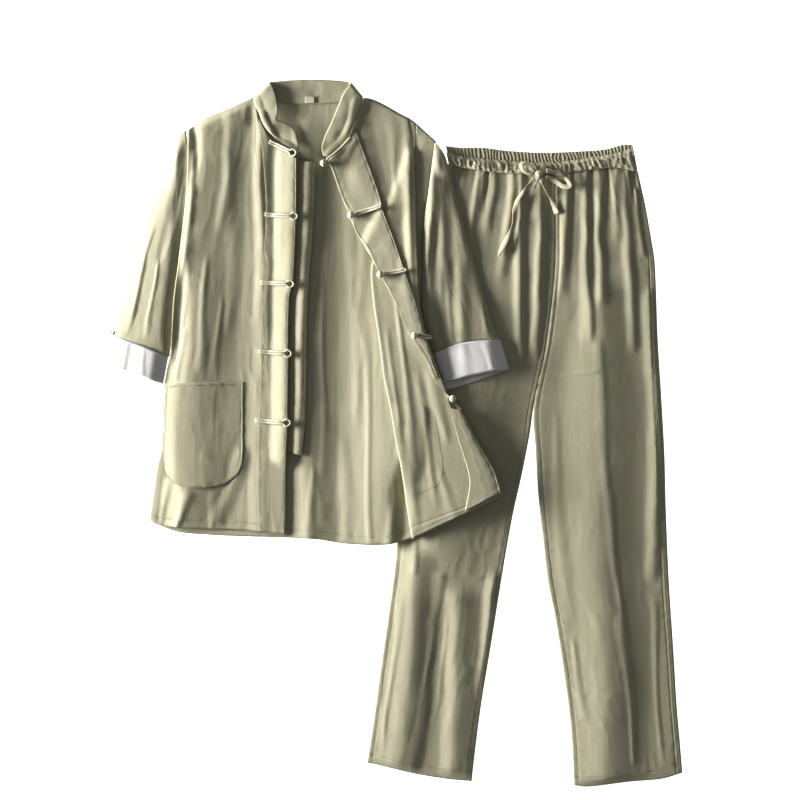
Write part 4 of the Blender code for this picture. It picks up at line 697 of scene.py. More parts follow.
def cloth_material(name, light, dark, slub=1.0, weave=1.0, crease=1.0, sheen=0.12, rough=0.9, thread=0.00052):
    """Plain weave in metres along the piece's own grain."""
    mat, nt, bsdf = new_material(name)
    link = nt.links.new
    uv = node(nt, "ShaderNodeUVMap", uv_map="cloth")
    sep = node(nt, "ShaderNodeSeparateXYZ")
    link(uv.outputs[0], sep.inputs[0])

    def stretched(sx, sy, detail, rough_n):
        comb = node(nt, "ShaderNodeVectorMath", operation="MULTIPLY")
        comb.inputs[1].default_value = (sx, sy, 1)
        link(uv.outputs[0], comb.inputs[0])
        n = node(nt, "ShaderNodeTexNoise", noise_dimensions="3D")
        n.inputs["Scale"].default_value = 1.0
        n.inputs["Detail"].default_value = detail
        n.inputs["Roughness"].default_value = rough_n
        link(comb.outputs[0], n.inputs["Vector"])
        return n.outputs["Fac"]

    def math_node(op, a, b=None, c=None):
        n = node(nt, "ShaderNodeMath", operation=op)
        for k, q in enumerate((a, b, c)):
            if q is None:
                continue
            if isinstance(q, (int, float)):
                n.inputs[k].default_value = q
            else:
                link(q, n.inputs[k])
        return n.outputs[0]

    # threads: warp and weft as rounded ribs that pass over each other
    wave_u = math_node("SINE", math_node("MULTIPLY", sep.outputs[0], math.pi / thread))
    wave_v = math_node("SINE", math_node("MULTIPLY", sep.outputs[1], math.pi / thread))
    over = math_node("MULTIPLY", wave_u, wave_v)
    ribs = math_node("ADD", math_node("ABSOLUTE", wave_u), math_node("ABSOLUTE", wave_v))
    threads = math_node("ADD", math_node("MULTIPLY", ribs, 0.5), math_node("MULTIPLY", over, 0.35))
    slub_v = stretched(900, 22, 2, 0.6)      # thick and thin warp threads
    slub_u = stretched(30, 850, 2, 0.6)
    streak = stretched(260, 9, 3, 0.55)
    mottled = stretched(28, 16, 3, 0.6)
    fibre = stretched(2600, 2600, 1, 0.5)
    tone = math_node("ADD", math_node("MULTIPLY", slub_v, 0.34 * slub), math_node("MULTIPLY", slub_u, 0.22 * slub))
    tone = math_node("ADD", tone, math_node("MULTIPLY", streak, 0.26 * slub))
    tone = math_node("ADD", tone, math_node("MULTIPLY", mottled, 0.30 * slub))
    tone = math_node("ADD", tone, math_node("MULTIPLY", fibre, 0.10))
    tone = math_node("ADD", tone, math_node("MULTIPLY", threads, 0.10 * weave))
    ramp = node(nt, "ShaderNodeValToRGB")
    ramp.color_ramp.elements[0].position = 0.34
    ramp.color_ramp.elements[0].color = (*dark, 1)
    ramp.color_ramp.elements[1].position = 0.92
    ramp.color_ramp.elements[1].color = (*light, 1)
    link(tone, ramp.inputs[0])
    link(ramp.outputs[0], bsdf.inputs["Base Color"])
    rough_out = math_node("MULTIPLY_ADD", slub_v, 0.12, rough - 0.06)
    link(rough_out, bsdf.inputs["Roughness"])
    bsdf.inputs["Specular IOR Level"].default_value = 0.25
    bsdf.inputs["Sheen Weight"].default_value = sheen
    bsdf.inputs["Sheen Roughness"].default_value = 0.45
    # fine crinkles below the mesh's own, then the weave
    b1 = node(nt, "ShaderNodeBump")
    b1.inputs["Strength"].default_value = 0.75
    b1.inputs["Distance"].default_value = 0.00042 * crease
    small = math_node("ADD", math_node("MULTIPLY", stretched(270, 62, 2, 0.55), 0.55),
                      math_node("MULTIPLY", stretched(95, 26, 3, 0.6), 0.75))
    link(small, b1.inputs["Height"])
    b2 = node(nt, "ShaderNodeBump")
    b2.inputs["Strength"].default_value = 0.6
    b2.inputs["Distance"].default_value = 0.00012 * weave
    link(math_node("ADD", threads, math_node("MULTIPLY", math_node("ADD", slub_v, slub_u), 0.8)), b2.inputs["Height"])
    link(b1.outputs[0], b2.inputs["Normal"])
    link(b2.outputs[0], bsdf.inputs["Normal"])
    return mat


SAGE = cloth_material("sage_cloth", (0.575, 0.558, 0.430), (0.490, 0.470, 0.345))
WHITE = cloth_material("white_cotton", (0.90, 0.90, 0.89), (0.80, 0.80, 0.79), slub=0.8, weave=0.7, crease=0.7, rough=0.85)
TAPE = cloth_material("drawstring_tape", (0.68, 0.66, 0.53), (0.56, 0.54, 0.41), crease=0.4)
LABEL = cloth_material("blank_label", (0.86, 0.83, 0.72), (0.74, 0.71, 0.60), slub=0.4, crease=0.2, thread=0.0003)


def cord_material(name, light, dark):
    mat, nt, bsdf = new_material(name)
    link = nt.links.new
    tc = node(nt, "ShaderNodeTexCoord")
    n = node(nt, "ShaderNodeTexNoise")
    n.inputs["Scale"].default_value = 900
    n.inputs["Detail"].default_value = 3
    link(tc.outputs["Object"], n.inputs["Vector"])
    ramp = node(nt, "ShaderNodeValToRGB")
    ramp.color_ramp.elements[0].position = 0.35
    ramp.color_ramp.elements[0].color = (*dark, 1)
    ramp.color_ramp.elements[1].position = 0.7
    ramp.color_ramp.elements[1].color = (*light, 1)
    link(n.outputs["Fac"], ramp.inputs[0])
    link(ramp.outputs[0], bsdf.inputs["Base Color"])
    bsdf.inputs["Roughness"].default_value = 0.75
    bsdf.inputs["Sheen Weight"].default_value = 0.15
    bsdf.inputs["Specular IOR Level"].default_value = 0.3
    b = node(nt, "ShaderNodeBump")
    b.inputs["Strength"].default_value = 0.7
    b.inputs["Distance"].default_value = 0.0003
    link(n.outputs["Fac"], b.inputs["Height"])
    link(b.outputs[0], bsdf.inputs["Normal"])
    return mat


CORD = cord_material("frog_cord", (0.80, 0.78, 0.67), (0.62, 0.60, 0.48))
THREADM = cord_material("sewing_thread", (0.60, 0.58, 0.43), (0.40, 0.38, 0.27))

# ------------------------------------------------------- camera and the stage
cam_data = bpy.data.cameras.new("camera")
cam = bpy.data.objects.new("camera", cam_data)
bpy.context.scene.collection.objects.link(cam)
cam_data.lens = 100
cam_data.sensor_width = 36
cam_data.clip_end = 50
view_w = 800 * STEP
centre = metres((400.0, 400.0))
cam.location = (centre[0], centre[1], view_w * 100 / 36 + 0.006)
cam.rotation_euler = (0, 0, 0)
bpy.context.scene.camera = cam

import bmesh
fl = bpy.data.meshes.new("floor")
bm = bmesh.new()
bmesh.ops.create_grid(bm, x_segments=1, y_segments=1, size=5.0)
bm.to_mesh(fl)
bm.free()
floor = bpy.data.objects.new("floor", fl)
floor.location = (0, 0, -0.0006)
bpy.context.scene.collection.objects.link(floor)
mat, nt, bsdf = new_material("pale_floor")
bsdf.inputs["Base Color"].default_value = (0.93, 0.93, 0.93, 1)
bsdf.inputs["Roughness"].default_value = 0.9
bsdf.inputs["Specular IOR Level"].default_value = 0.1
bsdf.inputs["Emission Color"].default_value = (1, 1, 1, 1)
bsdf.inputs["Emission Strength"].default_value = 0.75
fl.materials.append(mat)


def area_light(name, loc, aim, size, power, colour=(1, 1, 1), size_y=None):
    li = bpy.data.lights.new(name, "AREA")
    li.shape = "RECTANGLE"
    li.size = size
    li.size_y = size_y or size
    li.energy = power
    li.color = colour
    ob = bpy.data.objects.new(name, li)
    ob.location = loc
    ob.rotation_euler = (Vector(aim) - Vector(loc)).to_track_quat("-Z", "Y").to_euler()
    bpy.context.scene.collection.objects.link(ob)


area_light("key", (-3.2, 0.42, 0.64), (0.0, 0.0, 0.0), 1.6, 232, (1.0, 0.985, 0.955), 0.8)
world = bpy.data.worlds.new("studio")
bpy.context.scene.world = world
world.use_nodes = True
world.node_tree.nodes["Background"].inputs[0].default_value = (1, 1, 1, 1)
world.node_tree.nodes["Background"].inputs[1].default_value = 0.15
bpy.context.scene.view_settings.view_transform = "Standard"
bpy.context.scene.view_settings.look = "High Contrast"

# ------------------------------------------------------------------ trousers
T_R = (SIDE_T_R, INNER_T_R, TOP_T_R, HEM_T_R)
T_L = (INNER_T_L, SIDE_T_L, TOP_T_L, HEM_T_L)
HEM_T = -0.0144


def waist_gathers(seed, side):
    """Soft gathers that fan down from the elastic and die out."""
    def relief(cu, cv, width, length, xy):
        x = xy[..., 0] + 2.5 * vnoise(xy[..., 0] / 12, cv / 0.06, seed) - (xy[..., 0] - 543) * 0.9 * cv
        near = np.exp(-cv / 0.040)
        far = np.exp(-cv / 0.105)
        a = 1 - np.abs(vnoise(x / 4.4, cv / 0.10, seed + 7))
        b = 1 - np.abs(vnoise(x / 8.0, cv / 0.20, seed + 8))
        return 0.0021 * a**2 * near + 0.0017 * b**2 * far
    return relief


panel("trousers_back_right", "trousers_back_right", T_R, [], SAGE, amount=0.15, grain=0.008, seed=11)
panel("trousers_back_left", "trousers_back_left", T_L, [], SAGE, amount=0.15, grain=0.008, seed=12)
BACKS = ["trousers_back_right", "trousers_back_left"]
panel("trousers_front_right", "trousers_front_right", T_R, BACKS, SAGE, creases="trousers_right", seed=13, grain=0.0027,
      marks_v=(HEM_T,), marks_u=(0.0075, -0.0065), fade=(1, 1, 0, 1), relief=waist_gathers(21, 0),
      lift=0.0006)
panel("trousers_front_left", "trousers_front_left", T_L, BACKS, SAGE, creases="trousers_left", seed=14, grain=0.0025,
      marks_v=(HEM_T,), marks_u=(0.0065, -0.0085), fade=(1, 1, 0, 1), relief=waist_gathers(31, 1),
      lift=0.0006)


def band_gathers(seed, height, pitch, even):
    """Gathers of the elastic: bunched ribs, two rows of sewing across them."""
    def relief(cu, cv, width, length, xy):
        warp = 0.0022 * vnoise(cu / 0.016, cv / 0.012, seed)
        ribs = 0.5 + 0.5 * np.sin(2 * np.pi * (cu + warp) / pitch + 2.0 * vnoise(cu / 0.03, cv / 0.05, seed + 2))
        free = (1 - np.abs(vnoise((cu + warp * 0.6) / (pitch * 0.92), cv / 0.017, seed + 4))) ** 1.6
        swell = np.sin(np.pi * np.clip(cv / length, 0, 1)) ** 0.5
        rows = 1 - 0.30 * np.exp(-((cv - length * 0.30) / 0.0013)**2) - 0.30 * np.exp(-((cv - length * 0.62) / 0.0013)**2)
        return height * (even * ribs + (1 - even) * free) * rows * (0.65 + 0.35 * swell) + 0.0022 * swell
    return relief


def ends(a, b):
    return pts(tuple(a), tuple(b))


BAND_B = (ends(BAND_BACK_TOP[0], BAND_BACK_END[0]), ends(BAND_BACK_TOP[-1], BAND_BACK_END[-1]),
          BAND_BACK_TOP, BAND_BACK_END)
BAND_F = (ends(BAND_TOP[0], BAND_END[0]), ends(BAND_TOP[-1], BAND_END[-1]), BAND_TOP, BAND_END)
panel("waistband_back", "waistband_back", BAND_B, BACKS, SAGE, relief=band_gathers(41, 0.0016, 0.0056, 0.75), scallop=0.5, fade=(0, 0, 0, 0),
      seed=15, amount=0.3, grain=0.0011)
panel("waistband_front", "waistband_front", BAND_F, ["waistband_back", "trousers_front_right", "trousers_front_left"], SAGE, relief=band_gathers(42, 0.0030, 0.0084, 0.25), scallop=0.55,
      fade=(0, 0, 1, 0), seed=16, amount=0.3, grain=0.0011)
TROUSERS = BACKS + ["trousers_front_right", "trousers_front_left", "waistband_back", "waistband_front"]

# ------------------------------------------------------------------- sleeves
sl = (SLEEVE_R_OUT, SLEEVE_R_IN, ARMHOLE_R, SLEEVE_R_END)
tube("sleeve_right", "sleeve_right", sl, sl, [], SAGE, creases="sleeve_right", seed=51, puff=0.0030)
cf = (CUFF_R_OUT, CUFF_R_IN, CUFF_R_TOP, CUFF_R_END)
tube("cuff_right", "cuff_right", cf, cf, [], WHITE, creases="cuff_right", seed=52, puff=0.0034, extra=0.0006)
sl = (SLEEVE_L_OUT, SLEEVE_L_IN, ARMHOLE_L, SLEEVE_L_END)
tube("sleeve_left", "sleeve_left", sl, sl, TROUSERS, SAGE, creases="sleeve_left", seed=53, puff=0.0032)
tube("cuff_left", "cuff_left", (CUFF_L_OUT, CUFF_L_IN, CUFF_L_TOP, CUFF_L_BACK),
     (CUFF_L_OUT, CUFF_L_IN_UP, CUFF_L_TOP, CUFF_L_FRONT), TROUSERS, WHITE, creases="cuff_left",
     seed=54, puff=0.004, extra=0.0006)

# ------------------------------------------------------------- jacket body
panel("jacket_back", "jacket_back", (BACK_LEFT, BACK_RIGHT, BACK_TOP, BACK_HEM), TROUSERS, SAGE, soft=6,
      creases="back", seed=61, marks_v=(-0.0128,), fade=(1, 1, 1, 0))
panel("underlap", "underlap", (UNDERLAP_L, UNDERLAP_R, ends((289, 160.5), (315.5, 162)),
                               ends((283.5, 449.5), (301.4, 456))), ["jacket_back"], SAGE, seed=62, creases="underlap", amount=0.6,
      fade=(0, 0, 0, 0), marks_u=(-0.003,), lift=0.001, grain=0.0022)
FRONT_R = (SIDE_R, FRONT_EDGE_R, [*SHOULDER_R, *NECK_R[1:]], HEM_R)
panel("jacket_front_right", "jacket_front_right", FRONT_R, ["jacket_back", "underlap", "sleeve_right"], SAGE, soft=3,
      creases="front_right", seed=63, marks_v=(-0.012,), fade=(1, 0, 1, 0))
PLACKET_R = (PLACKET_SEAM_R, pts((296.6, 158.4), *[(p.x - 0.9, p.y) for p in FRONT_EDGE_R[1:-1]], (285, 533.8)),
             pts((258.9, 118), (269.2, 137), (283, 148.6), (296.6, 158.4)), ends((259, 531), (285, 533.8)))
panel("placket_right", "placket_right", PLACKET_R, ["jacket_front_right"], SAGE, seed=64, amount=0.8,
      fade=(0, 0, 0, 0), marks_u=(0.0022, -0.0022), grain=0.0024)
panel("pocket_right", "pocket_right", (POCKET_L, POCKET_R, POCKET_TOP, POCKET_BOTTOM),
      ["jacket_front_right"], SAGE, seed=65, amount=0.8, fade=(0, 0, 0, 0), marks_v=(0.004, -0.0028),
      marks_u=(0.0028, -0.0028), grain=0.0024, lift=-0.0006)

# ------------------------------------------------ left front, thrown open
BELOW = TROUSERS + ["jacket_back"]
BESIDE = BELOW + ["sleeve_left", "cuff_left"]
keys = ("side", "turn", "roll", "neck", "mid", "edge")
ctrl = np.array([[tuple(getattr(s, k)) for k in keys] for s in FLAP], float)
fold_c = np.array([s.fold for s in FLAP])
unroll_c = np.array([s.unroll for s in FLAP])
length_f = chord(ctrl[:, 2])[-1] * STEP
spine = chord((ctrl[:, 1] + ctrl[:, 5]) / 2)
vs_f = spaced(spine[-1] * STEP, [1 - 0.012 / (spine[-1] * STEP)], 0.0028)
at = vs_f * spine[-1]


def along_rows(values):
    """Carry each column of the sections down the cloth."""
    values = np.asarray(values, float)
    if values.ndim == 1:
        return np.interp(at, spine, values)
    m = np.zeros_like(values)
    m[1:-1] = (values[2:] - values[:-2]) / (spine[2:] - spine[:-2])[:, None]
    m[0], m[-1] = (values[1] - values[0]) / (spine[1] - spine[0]), (values[-1] - values[-2]) / (spine[-1] - spine[-2])
    i = np.clip(np.searchsorted(spine, at, side="right") - 1, 0, len(spine) - 2)
    h = (spine[i + 1] - spine[i])[:, None]
    t = ((at - spine[i]) / (spine[i + 1] - spine[i]))[:, None]
    return ((2 * t**3 - 3 * t**2 + 1) * values[i] + (t**3 - 2 * t**2 + t) * h * m[i]
            + (-2 * t**3 + 3 * t**2) * values[i + 1] + (t**3 - t**2) * h * m[i + 1])


col = {k: along_rows(ctrl[:, n]) for n, k in enumerate(keys)}
fold_v = step01(along_rows(fold_c))
unroll_v = along_rows(unroll_c)
turned = (fold_v * (1 - step01(unroll_v)))
nr = len(at)
NIP = 0.0016 / STEP
to_roll = col["roll"] - col["turn"]
width_in = np.linalg.norm(to_roll, axis=1)[:, None]
to_roll = to_roll / np.maximum(width_in, 1e-6)
t_in = col["turn"] + to_roll * np.minimum(NIP * fold_v[:, None], 0.3 * width_in)
r_in = col["roll"] - to_roll * np.minimum(NIP * fold_v[:, None], 0.3 * width_in)
side_dir = t_in - col["side"]
u_under = np.linspace(0, 1, 14)[None, :, None]
under_xy = col["side"][:, None] + side_dir[:, None] * u_under
u_inner = np.linspace(0, 1, 34)[None, :, None]
inner_xy = t_in[:, None] + (r_in - t_in)[:, None] * u_inner
n_out = 46
outer_xy = np.zeros((nr, n_out, 2))
for r in range(nr):
    p = np.array([col["roll"][r], col["neck"][r], col["mid"][r], col["edge"][r]])
    s = chord(p)
    start = min(NIP * turned[r], 0.3 * s[-1])
    outer_xy[r] = smooth_line(p, np.linspace(start, s[-1], n_out))

cv_f = (vs_f * spine[-1] * STEP)[:, None]
w_under = np.linalg.norm(side_dir, axis=1)[:, None] * STEP
cu_under = u_under[..., 0] * w_under
w_inner = np.linalg.norm(r_in - t_in, axis=1)[:, None] * STEP
cu_inner = w_under + 0.002 + u_inner[..., 0] * w_inner
outer_len = np.cumsum(np.linalg.norm(np.diff(outer_xy, axis=1), axis=2), axis=1) * STEP
cu_outer = w_under + w_inner + 0.004 + np.concatenate([np.zeros((nr, 1)), outer_len], 1)

xy_u, xy_i, xy_o = metres(under_xy), metres(inner_xy), metres(outer_xy)
z_u = sample(ground(BELOW, 4), xy_u) + 0.3 * crinkle(cu_under, cv_f + 0 * cu_under, 71)
cover("flap.under", as_grid(xy_u, z_u + CLOTH), keep=(fold_v > 0.6)[:, None] * 1.0)
POCKET_L_E = (pts((403, 412), (404, 450), (411, 489)), pts((433, 417), (441, 467), (437, 484)),
              ends((403, 412), (433, 417)), pts((411, 489), (424, 489.5), (437, 484)))
panel("pocket_left", "pocket_left", POCKET_L_E, BESIDE + ["flap.under"], SAGE, seed=72, amount=0.4,
      fade=(0, 0, 0, 0), grain=0.004)

creases_i = crease_field(inner_xy, CREASES["flap"])
dist_turn = (cu_inner - w_under - 0.002)
dist_roll = w_inner - dist_turn
lift_i = (creases_i + crinkle(cu_inner, cv_f + 0 * cu_inner, 73, 1.0)) * step01(dist_turn / 0.01 + 0.1)
lift_i += 0.0014 * np.exp(-(dist_turn / 0.006)**2) * fold_v[:, None]
lift_i += 0.0015 * step01(dist_turn / (w_inner + 1e-6)) * step01((w_inner - 0.02) / 0.06)
z_i = sample(ground(BESIDE + ["flap.under", "pocket_left"], 5), xy_i)
# the thrown-open front billows: it goes on rising from the turn to its edge
rise = np.interp(inner_xy[..., 0], [338, 372, 400, 430, 462, 500], [0.002, 0.0095, 0.0140, 0.0168, 0.0186, 0.0196])
rise *= step01((inner_xy[..., 1] - 215) / 120)
gap_i = rise - z_i
z_i = z_i + np.where(gap_i > 0, gap_i, 0) * step01(dist_turn / 0.03) + lift_i * (0.15 + 0.85 * fold_v[:, None])
hem_d = cv_f[-1] - cv_f - 0.012
z_i = z_i - 0.0004 * np.exp(-(hem_d / 0.0011)**2)
cover("flap.inner", as_grid(xy_i, z_i + CLOTH))
cover("flap.turned", as_grid(xy_i, z_i + CLOTH), keep=(turned > 0.6)[:, None] * 1.0)
d_out = cu_outer - cu_outer[:, :1]
creases_o = crease_field(outer_xy, CREASES["chest_left"]) + swell_field(outer_xy, SWELLS["chest_left"], 91) * (
    1 - 0.8 * step01(unroll_v)[:, None])
z_o = sample(ground(BESIDE + ["flap.turned"], 4), xy_o)
rise_o = np.interp(outer_xy[..., 0], [338, 372, 400, 430, 462, 500], [0.002, 0.0095, 0.0140, 0.0168, 0.0186, 0.0196])
gap_o = rise_o * step01((outer_xy[..., 1] - 330) / 90) - z_o
z_o = z_o + np.where(gap_o > 0, gap_o, 0)
z_o += (creases_o + crinkle(cu_outer, cv_f + 0 * cu_outer, 74, 0.9)) * (0.25 + 0.75 * step01(d_out / 0.01))
z_o += turned[:, None] * 0.0008 * np.exp(-(d_out / 0.010)**2)
lip = np.exp(-((cv_f - np.interp(spine[9], spine, spine) * STEP) / 0.010)**2) * (turned[:, None] > 0.05)
z_o += lip * 0.002 * d_out / (d_out[:, -1:] + 1e-6)
cover("front_left", as_grid(xy_o, z_o + CLOTH))
cover("front_left", as_grid(xy_i, z_i + CLOTH))

# join the three plies by their two folds: the turn on the left, the roll on
# the right; the surface followed is the cloth's inner face
def half_turn(a, b, tip, n):
    mid = (a + b) / 2
    outp = np.concatenate([tip, mid[:, 2:]], 1) - mid
    ts = np.linspace(0, math.pi, n + 2)[1:-1]
    return np.stack([mid + (a - mid) * math.cos(t) + outp * math.sin(t) for t in ts], 1)


g_u = as_grid(xy_u, z_u)
g_i = as_grid(xy_i, z_i + CLOTH * fold_v[:, None])
g_o = as_grid(xy_o, z_o + CLOTH * (fold_v * step01(unroll_v))[:, None])
flat_tip = lambda k, a, b: metres(col[k]) * fold_v[:, None] + ((a + b) / 2)[:, :2] * (1 - fold_v[:, None])
f_turn = half_turn(g_u[:, -1], g_i[:, 0], flat_tip("turn", g_u[:, -1], g_i[:, 0]), 4)
roll_tip = metres(col["roll"] - to_roll * 0.4 * fold_v[:, None]) * turned[:, None] \
    + ((g_i[:, -1] + g_o[:, 0]) / 2)[:, :2] * (1 - turned[:, None])
f_roll = half_turn(g_i[:, -1], g_o[:, 0], roll_tip, 4)
flap = np.concatenate([g_u, f_turn, g_i, f_roll, g_o], 1)
cu_all = np.concatenate([cu_under, w_under + np.linspace(0.0003, 0.0017, 4)[None], cu_inner,
                         w_under + w_inner + np.linspace(0.0023, 0.0037, 4)[None], cu_outer], 1)
uv_f = np.stack([cu_all, cv_f + 0 * cu_all], -1)
flap, uv_f = flap[:, ::-1], uv_f[:, ::-1]      # the edge first, so that it faces up
front_l = grid_object("jacket_front_left", flap, uv_f, SAGE, CLOTH, 1.0)
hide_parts("jacket_front_left")

PLACKET_L = (PLACKET_EDGE_L, PLACKET_SEAM_L, pts((328.4, 161.5), (339, 151.6), (349, 138.6), (354.3, 126)),
             ends((433.5, 378.5), (438.5, 378)))
panel("placket_left", "placket_left", PLACKET_L, ["front_left"], SAGE, seed=75, amount=0.7, fade=(0, 0, 0, 0),
      marks_u=(0.0022, -0.0022), grain=0.0022)
panel("facing_left", "facing_left", (FACING_L, FACING_R, ends((449.8, 408), (459.5, 409.5)),
                                     pts((464.5, 510.5), (482, 502), (500.6, 492))),
      ["front_left"], SAGE, seed=76, amount=0.7, fade=(0, 0, 0, 0), marks_u=(-0.002,),
      grain=0.0022)

# -------------------------------------------------------------- stand collar
sec = np.array([tuple(s) for s in COLLAR], float)
n_c = 150
sc = chord((sec[:, :2] + sec[:, 2:4]) / 2)
atc = np.linspace(0, sc[-1], n_c)
seam_l, free_l = smooth_line(np.c_[sec[:, :2]], np.interp(atc, sc, chord(sec[:, :2]))), \
    smooth_line(np.c_[sec[:, 2:4]], np.interp(atc, sc, chord(sec[:, 2:4])))
rise_c, ply_c = np.interp(atc, sc, sec[:, 4]), np.interp(atc, sc, sec[:, 5])
k = np.linspace(0, 1, 15)[:, None]
xy_c = seam_l[None] * (1 - k[..., None]) + free_l[None] * k[..., None]
m_c = metres(xy_c)
g_front = ground(["jacket_front_right", "front_left", "placket_right", "placket_left", "jacket_back"], 3)
g_back = ground(["jacket_back"], 3)
low, high = sample(g_back, m_c), np.maximum(sample(g_front, m_c), 0.0034)
COLLAR_T = 0.0012
z_c = ((1 - ply_c) * (low + COLLAR_T) + ply_c * (high + 0.0012) + rise_c * 0.001 * k**0.8
       + np.sin(math.pi * k) * 0.0016 * ply_c
       + 0.0004 * vnoise(atc[None] / 9 + 0 * k, k * 3 + 0 * atc[None], 81))
g_c = as_grid(m_c, z_c)
cu_c = atc[None] * STEP + 0 * k
cv_c = k * 0.034 + 0 * atc[None]
up_normal = np.cross(g_c[1, 20] - g_c[0, 20], g_c[0, 21] - g_c[0, 20])[2]
gc2, uvc = (g_c, np.stack([cu_c, cv_c], -1)) if up_normal > 0 else (g_c[:, ::-1], np.stack([cu_c, cv_c], -1)[:, ::-1])
collar = grid_object("collar", gc2, uvc, SAGE, COLLAR_T, 1.0)
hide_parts("collar")
back_part = (ply_c < 0.25)
cover("collar.back", g_c[:, back_part])
cover("collar.front", g_c[:, :50] + [0, 0, COLLAR_T])
cover("collar.front", g_c[:, 105:] + [0, 0, COLLAR_T])
LABEL_E = (ends((305, 96.2), (305, 103)), ends((314.4, 96.2), (314.4, 103)), ends((305, 96.2), (314.4, 96.2)),
           ends((305, 103), (314.4, 103)))
panel("neck_label", "neck_label", LABEL_E, ["collar.back", "jacket_back"], LABEL, amount=0.1, fade=(0, 0, 0, 0),
      grain=0.001, wall=0.0005, seed=82)


# ---------------------------------------------------------- frogs and cords
def tube_mesh(name, path, radius, mat, sides=14, twist=0.0, ridge=0.0, caps=True, node_name=None):
    p = np.asarray(path, float)
    t = np.gradient(p, axis=0)
    t /= np.linalg.norm(t, axis=1)[:, None]
    n = np.zeros_like(p)
    up = np.array([0, 0, 1.0])
    for q in range(len(p)):
        v = up - t[q] * (up @ t[q])
        n[q] = v / max(np.linalg.norm(v), 1e-9)
    b = np.cross(t, n)
    s = chord(p)
    th = np.linspace(0, 2 * math.pi, sides, endpoint=False)
    r = radius * (1 - ridge + ridge * np.abs(np.cos((th[None] - twist * s[:, None]))))
    ring = p[:, None] + r[..., None] * (np.cos(th)[None, :, None] * n[:, None] + np.sin(th)[None, :, None] * b[:, None])
    taper = [0.0, 0.55, 0.86]
    if caps:
        head = [p[0] + (ring[0] - p[0]) * w - t[0] * radius * (1 - w) * 0.7 for w in taper]
        tail = [p[-1] + (ring[-1] - p[-1]) * w + t[-1] * radius * (1 - w) * 0.7 for w in taper[::-1]]
        ring = np.concatenate([np.array(head), ring, np.array(tail)], 0)
    rows = ring.shape[0]
    ring = np.concatenate([ring, ring[:, :1]], 1)
    uv = np.stack(np.meshgrid(np.linspace(0, 2 * math.pi * radius, sides + 1), np.linspace(0, s[-1], rows)), -1)
    ob = grid_object(name, ring, uv, mat, wall=0, closed=True)
    b2 = bmesh.new()
    b2.from_mesh(ob.data)
    bmesh.ops.remove_doubles(b2, verts=b2.verts, dist=1e-7)
    bmesh.ops.recalc_face_normals(b2, faces=b2.faces)
    b2.to_mesh(ob.data)
    b2.free()
    return ob


def rest_height(xy_layout, h, radius):
    m = metres(xy_layout)
    best = np.zeros(len(m))
    for dx in (-radius, 0, radius):
        for dy in (-radius, 0, radius):
            best = np.maximum(best, sample(h, m + [dx, dy]))
    return best


def even_path(line, n):
    s = chord(line)
    return smooth_line(line, np.linspace(0, s[-1], n))


gap_px = (CORD_D + 0.0003) / STEP
over_right = ground(["jacket_front_right", "placket_right", "underlap", "jacket_back"], 1)
over_collar = ground(["jacket_front_right", "placket_right", "underlap", "jacket_back", "collar.front"], 1)
over_left = ground(["front_left", "placket_left", "jacket_back", "collar.front", "jacket_front_right"] + BESIDE, 1)


def level(line, h, radius):
    z = rest_height(line, h, radius * 0.8)
    for _ in range(4):
        z = np.maximum(z, np.convolve(np.pad(z, 1, mode="edge"), [1 / 3] * 3, "valid"))
    return z + radius


for n, lp in enumerate(LOOPS, 1):
    a, b = np.array([lp.x0, lp.y0]), np.array([lp.x1, lp.y1])
    d = (b - a) / np.linalg.norm(b - a)
    side = np.array([-d[1], d[0]])
    ring_r = 3.3
    c = b - d * ring_r
    neck = c - d * 3.4
    line = [a + side * gap_px / 2 + d * 0.4]
    line += [a + (neck - a) * q + side * gap_px / 2 for q in (0.25, 0.5, 0.75, 0.95)]
    for q in range(13):
        t = math.radians(150 - q * 25)
        line.append(c + d * math.cos(t) * ring_r + side * math.sin(t) * ring_r)
    line += [a + (neck - a) * q - side * gap_px / 2 for q in (0.95, 0.75, 0.5, 0.25)]
    line += [a - side * gap_px / 2 + d * 0.4]
    line = even_path(np.array(line), 110)
    z = level(line, over_right if n > 1 else over_collar, CORD_D / 2)
    ob = tube_mesh(f"frog_loop_{n}", as_grid(metres(line), z), CORD_D / 2, CORD, twist=900, ridge=0.16)
    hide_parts(f"frog_loop_{n}")

